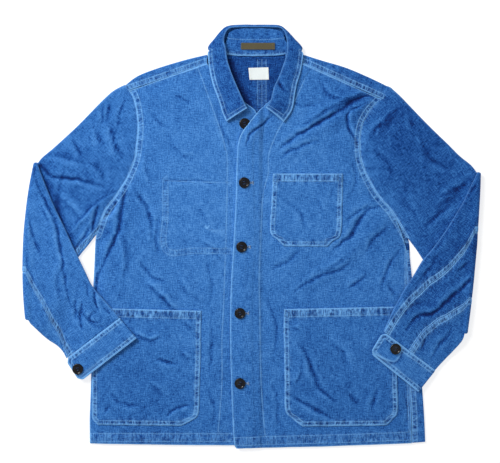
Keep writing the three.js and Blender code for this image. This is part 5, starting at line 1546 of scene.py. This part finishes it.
def sleeve(side, upper, fold, lower, outward, armhole):
    rows, angle, kind = stationRows(upper, fold, lower)
    rows[0, 0] += outward * 2.6
    rows[0, 2] += outward * 1.2
    bend = np.where(kind[1:] == 1, math.pi * tube["foldRadius"] / tube["turns"], 0)
    run = running(np.abs(np.diff(rows[:, :2], axis=0)).max(1) + bend)
    girth = np.hypot(rows[:, 2] - rows[:, 0], rows[:, 3] - rows[:, 1])[:, None]
    gap = 0.0008  # between the parts, in half turns
    spans = {
        "under": (rows[:, 6] + gap, rows[:, 7] - gap), "top": (rows[:, 7] + gap, rows[:, 6] + 2 - gap),
    }
    grids = {}
    for part, (start, stop) in spans.items():
        count = int((stop[0] - start[0]) * girth[0, 0] / tube["step"]) + 1
        grids[part] = start[:, None] + (stop - start)[:, None] * np.linspace(0, 1, count)[None, :]
    keep = kind != 2
    keep[np.flatnonzero(kind == 1)[4:]] = False
    for q in grids.values():
        laid.pressGrid(tubeSurface(rows, angle, kind, q, outward, armhole, lambda x, y: 0 * x)[0][keep])
    bed = laid.rest(15, 16)
    key = "sleeve" + side.capitalize()
    isLow, isFirst = kind[:, None] == 2, kind[:, None] != 2
    nearFold = ease(0, 10, np.abs(run[:, None] - run[kind == 1].mean()) - 6)
    for part, q in grids.items():
        isTop = part == "top"
        p, along, off, visible, fade = tubeSurface(rows, angle, kind, q, outward, armhole, bed)
        x, y = p[..., 0], p[..., 1]
        lowFolds, lowShade = creaseHeight(x, y, creases[key + "Low"])
        upFolds, upShade = creaseHeight(x, y, creases[key])
        belowFolds, belowShade = creaseHeight(x, y, sleeveFoldsBelow)
        shown = np.where(isLow, lowFolds, upFolds) + swellAt(x, y)
        shown = shown + crumple(x, y, 50 if side == "left" else 55, 0.42)
        shade = np.where(visible, np.where(isLow, lowShade, upShade), 0.5 * belowShade)
        if side == "left":
            # deep shade under the turned-back lower sleeve
            beside, away, _, _ = nearPath(np.reshape(leftTurn, (-1, 2)), x, y, 20)
            shade[beside] += (isFirst * visible)[beside] * turnShade["dark"] * peak(away, turnShade["wide"])
        edgeCalm = ease(0, 0.05, along) * ease(0, 0.05, 1 - along)
        hidden = -positive(belowFolds + 0.3 * crumple(x, y, 57, 0.6))
        body = np.where(visible, shown * (0.35 + 0.65 * nearFold), hidden * isFirst)
        body = body * edgeCalm * (1 - fade * 0.6)
        s = run[:, None] + 0 * x
        notes = SeamMarks(x.shape)
        relief = sleeveSeams(q, rows, girth, s, notes, isTop)
        # gathers where the sleeve goes into its cuff
        toCuff = ease(17, 4, run.max() - run)[:, None]
        relief += 0.9 * wave1(along * girth, 5.2, 330) * toCuff * isLow * visible * edgeCalm
        upperShown = isFirst * visible
        relief += armholeRelief(x, y, side, notes, 0.1, shown=upperShown.astype(float)) * upperShown
        worn = 0.3 * peak(np.minimum(along, 1 - along) * girth, 2.2)
        onFloor = (kind[:, None] == 0) & ~visible
        relief = np.where(onFloor, np.minimum(relief, 0), relief)
        column = int(np.argmin(np.abs(q[12] - partMiddle[f"{part}_{side}"])))
        flip = facesUp(p, 12, column, 1 if isTop else -1)
        p = p + gridNormals(p) * (-1 if flip else 1) * (body + relief)[..., None]
        tuck = 0.55 * ease(9, 2, run)[:, None]
        p[..., 2] = np.maximum(p[..., 2] - tuck * np.where(off > 0, 1, -1), 0)
        marks = finishMarks(body + relief, worn, notes, paintedLightAndShadeAt(x, y, "sleeve"), shade * edgeCalm)
        uv = sleeveWeave(rows, kind, angle, x, y, off)
        finishPiece(f"{part}_sleeve_{side}", [layCloth(p, wall, uv, marks, flip)])
        laid.pressGrid(p)
    return bed


cuffShape = {"thick": 5.2, "depth": 26, "step": 2.4, "underStep": 4, "turns": 8, "stitch": 2, "second": 8}
cuffCorners = {
    "left": {"fold": [-246.4, -151.6, -215, -189], "tab": [-349.5, -230.3, -321.5, -271]},
    "right": {"fold": [344, -250.3, 312, -290], "tab": [245.6, -177, 221, -217]},
}
# edge of the right cuff's buttoned tab, which lies over the cuff's other end
tabLine = [280, -184, 283, -192, 280, -211, 267, -233, 238, -224, 223, -216]


def cuffStations(length):
    # along the top, round the fold and back below: share of the length, side (1, 0, -1), turn
    turns, step = cuffShape["turns"], cuffShape["step"]
    top = np.concatenate([np.linspace(1, 0.9, 7), np.linspace(0.9, 0, int(length * 0.9 / step))[1:]])
    bend = math.pi * np.arange(1, turns) / turns
    below = np.linspace(0, 0.95, int(length / cuffShape["underStep"]))
    share = np.concatenate([top, 0 * bend, below])
    sideOf = np.concatenate([0 * top + 1, 0 * bend, 0 * below - 1])
    turn = np.concatenate([0 * top, bend, 0 * below])
    return share[:, None], sideOf[:, None], turn[:, None]


def cuff(side, bed):
    fold, tab = np.array(cuffCorners[side]["fold"]), np.array(cuffCorners[side]["tab"])
    depth, radius = cuffShape["depth"], cuffShape["thick"] / 2
    share, sideOf, turn = cuffStations(np.hypot(*(tab[:2] - fold[:2])))
    v = np.linspace(0, 1, depth + 1)[None, :]
    rounded = np.where((sideOf > 0) & (share > 0.9), mix(0.16, 0, ease(1, 0.93, share) ** 0.6), 0)
    w = mix(rounded, 1 - rounded, v)
    fx, fy = mix(fold[0], fold[2], w), mix(fold[1], fold[3], w)
    tx, ty = mix(tab[0], tab[2], w), mix(tab[1], tab[3], w)
    far = np.hypot(tx - fx, ty - fy)
    along = np.where(sideOf == 0, radius - radius * np.sin(turn), mix(radius, far, share))
    off = np.where(sideOf == 0, radius * np.cos(turn), sideOf * radius)
    x, y = mix(fx, tx, along / far), mix(fy, ty, along / far)
    p = np.stack([x, y, bed(x, y) + cloth["layer"] + radius + off], -1)
    run = running(np.linalg.norm(np.diff(p[:, depth // 2], axis=0), axis=1))[:, None] + 0 * x
    high = np.linalg.norm(p[:, -1] - p[:, 0], axis=1)[:, None] * v
    edge = np.minimum(np.minimum(high, high.max(1, keepdims=True) - high), np.where(sideOf > 0, run, 99))
    seed = 400 if side == "left" else 410
    relief = -0.4 * peak(edge - cuffShape["stitch"], 1.2)
    relief += 0.4 * gathers(run, seed, 0.7, 0.5) * skirt(edge - 3, 7) * ease(0, 2, edge)
    relief -= 0.35 * peak(edge - cuffShape["second"], 1.3)
    relief = np.where(sideOf < 0, 0, relief)
    body = crumple(x, y, seed + 3, 0.5) * ease(0, 6, edge)
    worn = np.where(sideOf < 0, 0, peak(edge, 2.0))
    shade = np.zeros(x.shape)
    if side == "right":
        near, d, _, _ = nearPath(smoothPath(tabLine), x, y, 18)
        shown = (sideOf > 0) & near
        here = shown[near]
        relief[shown] += (0.9 * ease(0.8, -0.8, d) * ease(-18, -6, d))[here]
        worn[shown] += (0.8 * peak(d + 1, 1.3))[here]
        shade[shown] += (0.8 * peak(d - 2.6, 2.0))[here]
    notes = SeamMarks(x.shape)
    notes.addAll(edge - cuffShape["stitch"], np.where(high < run, run, high) + 900, 6.0, 0.95, 1.3)
    flip = facesUp(p, 20, depth // 2)
    p = p + gridNormals(p) * (-1 if flip else 1) * np.where(sideOf < 0, 0, body + relief)[..., None]
    marks = finishMarks(body + relief, worn, notes, shade=shade)
    finishPiece(f"cuff_{side}", [layCloth(p, wall, np.stack([run, high], -1), marks, flip)])
    laid.pressGrid(p)


sleeves = {
    "right": (sleeveRightUpper, sleeveRightFold, sleeveRightLower, -1, armholeRight),
    "left": (sleeveLeftUpper, sleeveLeftFold, sleeveLeftLower, 1, armholeLeft),
}
for side, tables in sleeves.items():
    cuff(side, sleeve(side, *tables))
print("stage: sleeves laid")


# Buttons, with the thread through their holes
def buttonMesh():
    b = buttonShape
    r, h = b["radius"], b["height"]
    profile = [
        (0, 0.1), (7.6, 0.1), (9.0, 0.5), (r - 0.2, 1.2), (r, 1.9), (r - 0.15, 2.6), (r - 0.7, h - 0.25),
        (r - 1.4, h), (r - 2.1, h - 0.12), (r - 2.9, h - 0.7), (r - 3.8, h - 1.15), (4.5, 2.0), (0, 1.9),
    ]
    smooth = rowsAt(profile, np.linspace(0, 1, 49))
    smooth[:, 0] = np.maximum(smooth[:, 0], 0)
    turns = np.linspace(0, 2 * math.pi, 48, endpoint=False)
    points, faces = [(0, 0, float(smooth[0, 1]))], []
    for radius, z in smooth[1:-1]:
        points += [(radius * math.cos(a), radius * math.sin(a), z) for a in turns]
    points.append((0, 0, float(smooth[-1, 1])))
    count, last = len(turns), len(points) - 1
    for k in range(count):
        m = (k + 1) % count
        faces.append((0, 1 + m, 1 + k))
        for ring in range(len(smooth) - 3):
            a, b2 = 1 + ring * count, 1 + (ring + 1) * count
            faces.append((a + k, a + m, b2 + m, b2 + k))
        a = 1 + (len(smooth) - 3) * count
        faces.append((a + k, a + m, last))
    mesh = bpy.data.meshes.new("button")
    mesh.from_pydata([[c * 0.001 for c in p] for p in points], [], faces)
    obj = addObject("button", mesh)
    for sx in (-1, 1):
        for sy in (-1, 1):
            bpy.ops.mesh.primitive_cylinder_add(
                vertices=20, radius=b["hole"] * 0.001, depth=0.02,
                location=(sx * b["spread"] * 0.001, sy * b["spread"] * 0.001, 0))
            drill = bpy.context.object
            cut = obj.modifiers.new("hole", "BOOLEAN")
            cut.operation, cut.object, cut.solver = "DIFFERENCE", drill, "EXACT"
            bpy.context.view_layer.objects.active = obj
            bpy.ops.object.modifier_apply(modifier=cut.name)
            bpy.data.objects.remove(drill)
    bpy.data.objects.remove(obj)
    for face in mesh.polygons:
        face.use_smooth = True
    mesh.set_sharp_from_angle(angle=0.7)
    return mesh


buttonLook, surface, place = newLook("button_black", {"Specular IOR Level": 0.14, "Coat Weight": 0.20,
                                                      "Coat Roughness": 0.05, "Coat IOR": 1.6})
scuffs = place.node("ShaderNodeTexCoord", out=3).scaled(600, 600, 600).noise(1.0, 4.0)
feed(buttonLook, surface, "Base Color", scuffs.toward((0.003, 0.003, 0.005), (0.010, 0.010, 0.013)))
feed(buttonLook, surface, "Roughness", scuffs * 0.12 + 0.04)
darkThread, surface, place = newLook("button_thread", {"Roughness": 0.8})
strands = place.node("ShaderNodeTexCoord", out=3).scaled(2500, 2500, 2500).noise(1.0, 2.0)
feed(darkThread, surface, "Base Color", strands.toward((0.004, 0.018, 0.060), (0.014, 0.045, 0.120)))


def tubeAlong(points, radius, sides=8):
    # a round strand through points, in mm
    points = np.array(points, float)
    tangents = np.gradient(points, axis=0)
    tangents /= np.linalg.norm(tangents, axis=1, keepdims=True)
    side = np.cross(tangents, (0.31, 0.47, 0.83))
    side /= np.linalg.norm(side, axis=1, keepdims=True)
    other = np.cross(tangents, side)
    turns = np.linspace(0, 2 * math.pi, sides, endpoint=False)
    spokes = side[:, None] * np.cos(turns)[:, None] + other[:, None] * np.sin(turns)[:, None]
    ring = points[:, None] + radius * spokes
    index = np.arange(len(points) * sides).reshape(len(points), sides)
    nextOne = np.roll(index, -1, 1)
    quads = np.stack([index[:-1], index[1:], nextOne[1:], nextOne[:-1]], -1).reshape(-1, 4)
    return ring.reshape(-1, 3), quads


def sewnThread(name, paths, look, slot):
    # strands along paths of points, radius and sides, as one piece
    points, faces = joined([tubeAlong(*path) for path in paths])
    attach(meshFrom(name, points, faces, points[:, :2], {}, look), slot)


# Buttonholes: a zigzag of thread round each slot and a bar across its inner end
hole = {
    "start": -5.5, "end": 14.5, "half": 1.15, "reach": 0.85, "pitch": 0.34, "thread": 0.33,
    "barOut": 1.6, "barHalf": 3.2, "barReach": 1.3, "barPitch": 0.30, "above": 0.12, "slitShade": 0.42,
    "slitShadeAt": -0.05,
}


def zigzag(path, reach, pitch):
    run = running(np.hypot(*np.diff(path, axis=0).T))
    s = np.arange(0, run[-1], pitch)
    x, y = np.interp(s, run, path[:, 0]), np.interp(s, run, path[:, 1])
    dx, dy = np.gradient(x), np.gradient(y)
    size = np.hypot(dx, dy)
    side = np.where(np.arange(len(s)) % 2, 1, -1) * reach * (1 + 0.12 * wave1(s * 7, 1.0, 3))
    return np.stack([x - dy / size * side, y + dx / size * side], 1)


def onCloth(line, rise):
    return np.column_stack([line, laid.surface(line[:, 0], line[:, 1]) + rise])


for name in ("button_2", "button_3", "button_4", "button_5"):
    x, y = buttonPlaces[name]
    turns = np.linspace(math.pi / 2, -math.pi / 2, 12)
    right = np.stack([x + hole["end"] + hole["half"] * np.cos(turns), y + hole["half"] * np.sin(turns)], 1)
    left = np.stack([x + hole["start"] - hole["half"] * np.cos(turns), y - hole["half"] * np.sin(turns)], 1)
    barX = x + hole["end"] + hole["barOut"]
    bar = np.array([[barX, y - hole["barHalf"]], [barX, y + hole["barHalf"]]])
    rows = (zigzag(np.concatenate([right, left, right[:1]]), hole["reach"], hole["pitch"]),
            zigzag(bar, hole["barReach"], hole["barPitch"]))
    sewnThread(name.replace("button", "buttonhole"),
               [(onCloth(row, hole["above"]), hole["thread"], 5) for row in rows], paleThread, "denim")
    # a dark strand along each slit is painted shade standing in for the dark cut
    slitShade = np.stack([np.linspace(x + hole["start"], x + hole["end"], 30), np.full(30, y)], 1)
    sewnThread(name.replace("button", "slitShade"), [(onCloth(slitShade, hole["slitShadeAt"]), hole["slitShade"], 6)], darkThread,
               "denim")


def turned(points, angle):
    c, s = math.cos(angle), math.sin(angle)
    x, y, z = points.T
    return np.stack([x * c - y * s, x * s + y * c, z], 1)


# the thread over each button: three strands a pair of holes
overButton = {"strand": 0.26, "lane": 0.42, "over": 0.55, "high": 2.25, "dip": 2.2, "waver": 0.12}


def buttonThread(angle):
    t = np.linspace(-1, 1, 15)
    along = (buttonShape["spread"] + overButton["over"]) * t
    paths = []
    for pair in (-1, 1):
        for k in range(3):
            lane = pair * buttonShape["spread"] + (k - 1) * overButton["lane"]
            across = lane + overButton["waver"] * np.sin(3 * t + k)
            high = overButton["high"] - overButton["dip"] * np.abs(t) ** 7 + overButton["waver"] * (k == 1)
            paths.append(turned(np.stack([along, across, high], 1), angle))
    return paths


buttonBody = buttonMesh()
buttonBody.materials.append(buttonLook)
for name in list(buttonPlaces)[1:]:
    seatButton(name)
for turnSeed, (name, (x, y)) in enumerate(buttonPlaces.items()):
    seat = np.array([x, y, buttonHeights[name]])
    angle = 0.35 * math.sin(2.7 * turnSeed + 0.4)
    mesh = buttonBody.copy()
    co = np.zeros(len(mesh.vertices) * 3)
    mesh.vertices.foreach_get("co", co)
    mesh.vertices.foreach_set("co", (turned(co.reshape(-1, 3), angle) + (seat + shift) * 0.001).ravel())
    mesh.update()
    attach(addObject(name + "_made", mesh), "button", name)
    paths = [(path + seat, overButton["strand"]) for path in buttonThread(angle)]
    sewnThread(name + "_thread", paths, darkThread, "button")
print("stage: buttons sewn")
# Stitches: short threads along every sewn row, made once and kept as plain meshes
stitch = {"pitch": 3.3, "long": 2.5, "thick": 0.62, "jitter": (0.05, 0.08, 0.09), "covered": 1.6, "low": 1.2}


def stitchTree(look):
    tree = bpy.data.node_groups.new("stitches", "GeometryNodeTree")
    nodes, link = tree.nodes, tree.links.new
    socket = tree.interface.new_socket
    socket("Geometry", in_out="INPUT", socket_type="NodeSocketGeometry")
    sizes = {}
    for key, size in (("Pitch", "pitch"), ("Length", "long"), ("Thickness", "thick")):
        sizes[socket(key, in_out="INPUT", socket_type="NodeSocketFloat").identifier] = stitch[size] * 0.001
    sizes[socket("Seed", in_out="INPUT", socket_type="NodeSocketInt").identifier] = 7
    socket("Geometry", in_out="OUTPUT", socket_type="NodeSocketGeometry")
    start, toCurve, toPoints, align, jitter, toRotation, tilt, bead, size, place, real, paint, end = (
        nodes.new(kind) for kind in (
            "NodeGroupInput", "GeometryNodeMeshToCurve", "GeometryNodeCurveToPoints",
            "FunctionNodeAlignRotationToVector", "FunctionNodeRandomValue", "FunctionNodeEulerToRotation",
            "FunctionNodeRotateRotation", "GeometryNodeMeshIcoSphere", "ShaderNodeCombineXYZ",
            "GeometryNodeInstanceOnPoints", "GeometryNodeRealizeInstances", "GeometryNodeSetMaterial",
            "NodeGroupOutput"))
    toPoints.mode, align.axis, jitter.data_type, tilt.rotation_space = "LENGTH", "X", "FLOAT_VECTOR", "LOCAL"
    jitter.inputs[0].default_value = [-j for j in stitch["jitter"]]
    jitter.inputs[1].default_value = stitch["jitter"]
    bead.inputs["Radius"].default_value, bead.inputs["Subdivisions"].default_value = 0.5, 1
    paint.inputs["Material"].default_value = look
    for source, out, target, into in (
            (start, "Geometry", toCurve, 0), (toCurve, 0, toPoints, "Curve"),
            (start, "Pitch", toPoints, "Length"), (start, "Seed", jitter, "Seed"),
            (toPoints, "Tangent", align, "Vector"), (align, 0, tilt, 0), (jitter, 0, toRotation, 0),
            (toRotation, 0, tilt, 1), (start, "Length", size, 0), (start, "Thickness", size, 1),
            (start, "Thickness", size, 2), (toPoints, "Points", place, "Points"),
            (bead, "Mesh", place, "Instance"), (tilt, 0, place, "Rotation"), (size, 0, place, "Scale"),
            (place, 0, real, 0), (real, 0, paint, 0), (paint, 0, end, 0)):
        link(source.outputs[out], target.inputs[into])
    return tree, sizes


def sew(name, points, edges, look):
    path = bpy.data.meshes.new(name + "_path")
    path.from_pydata(((points + shift) * 0.001).tolist(), edges.tolist(), [])
    obj = addObject(name + "_path", path)
    work = obj.modifiers.new("stitches", "NODES")
    work.node_group, sizes = stitchTree(look)
    for key, value in sizes.items():
        work[key] = value
    mesh = bpy.data.meshes.new_from_object(obj.evaluated_get(bpy.context.evaluated_depsgraph_get()))
    bpy.data.objects.remove(obj)
    for face in mesh.polygons:
        face.use_smooth = True
    co = np.zeros(len(mesh.vertices) * 3)
    mesh.vertices.foreach_get("co", co)
    uv = mesh.uv_layers.new(name="UVMap") if not mesh.uv_layers else mesh.uv_layers[0]
    uv.name = "UVMap"
    corner = np.zeros(len(mesh.loops), int)
    mesh.loops.foreach_get("vertex_index", corner)
    uv.data.foreach_set("uv", (co.reshape(-1, 3)[:, :2] * 1000)[corner].astype(np.float32).ravel())
    attach(addObject(name, mesh), "denim")


# only rows on the top of the laid jacket or on its underside are sewn
groups = {"upper": [], "under": []}
for points, edges in seamRows:
    high = points[:, 2]
    seen = (high > laid.surface(points[:, 0], points[:, 1]) - stitch["covered"]) | (high < stitch["low"])
    for key, side in (("upper", high >= stitch["covered"]), ("under", high < stitch["covered"])):
        groups[key].append((points, edges[(seen & side)[edges].all(1)]))
for key, rows in groups.items():
    sew(f"stitches_{key}", *joined(rows), threadLook)
print("stage: seams stitched")


# Light, floor and camera
studio = {
    "key": 62, "keySize": 1.1, "keyPlace": (-1.5, 1.35, 1.75), "fill": 9, "fillSize": 2.4,
    "fillPlace": (1.2, -1.0, 2.6), "world": 0.40, "floor": 0.50, "glow": 0.66, "floorSize": 12,
    "lens": 68.9, "cameraPlace": (-0.0033, 0.0099, 1.8),
}


def lamp(name):
    light = bpy.data.lights.new(name, "AREA")
    light.shape, light.size, light.energy = "SQUARE", studio[name + "Size"], studio[name]
    obj = addObject(name, light)
    obj.location = studio[name + "Place"]
    obj.rotation_euler = (-Vector(studio[name + "Place"])).to_track_quat("-Z", "Y").to_euler()


lamp("key")
lamp("fill")
world = bpy.data.worlds.new("studio")
bpy.context.scene.world = world
world.use_nodes = True
world.node_tree.nodes["Background"].inputs["Color"].default_value = (1, 1, 1, 1)
world.node_tree.nodes["Background"].inputs["Strength"].default_value = studio["world"]

floorLook = bpy.data.materials.new("floor")
floorLook.use_nodes = True
floorSurface = floorLook.node_tree.nodes["Principled BSDF"]
for key, value in {"Base Color": (*[studio["floor"]] * 3, 1), "Roughness": 0.9, "Specular IOR Level": 0.1,
                   "Emission Color": (1, 1, 1, 1), "Emission Strength": studio["glow"]}.items():
    floorSurface.inputs[key].default_value = value
bpy.ops.mesh.primitive_plane_add(size=studio["floorSize"], location=(0, 0, -0.0004))
floor = bpy.context.object
floor.name = "floor"
floor.data.materials.append(floorLook)

view = bpy.data.cameras.new("view")
view.lens, view.sensor_width, view.clip_start, view.clip_end = studio["lens"], 36, 0.05, 20
camera = addObject("view", view)
camera.location = studio["cameraPlace"]
scene = bpy.context.scene
scene.camera = camera
scene.view_settings.view_transform, scene.view_settings.look = "Standard", "None"
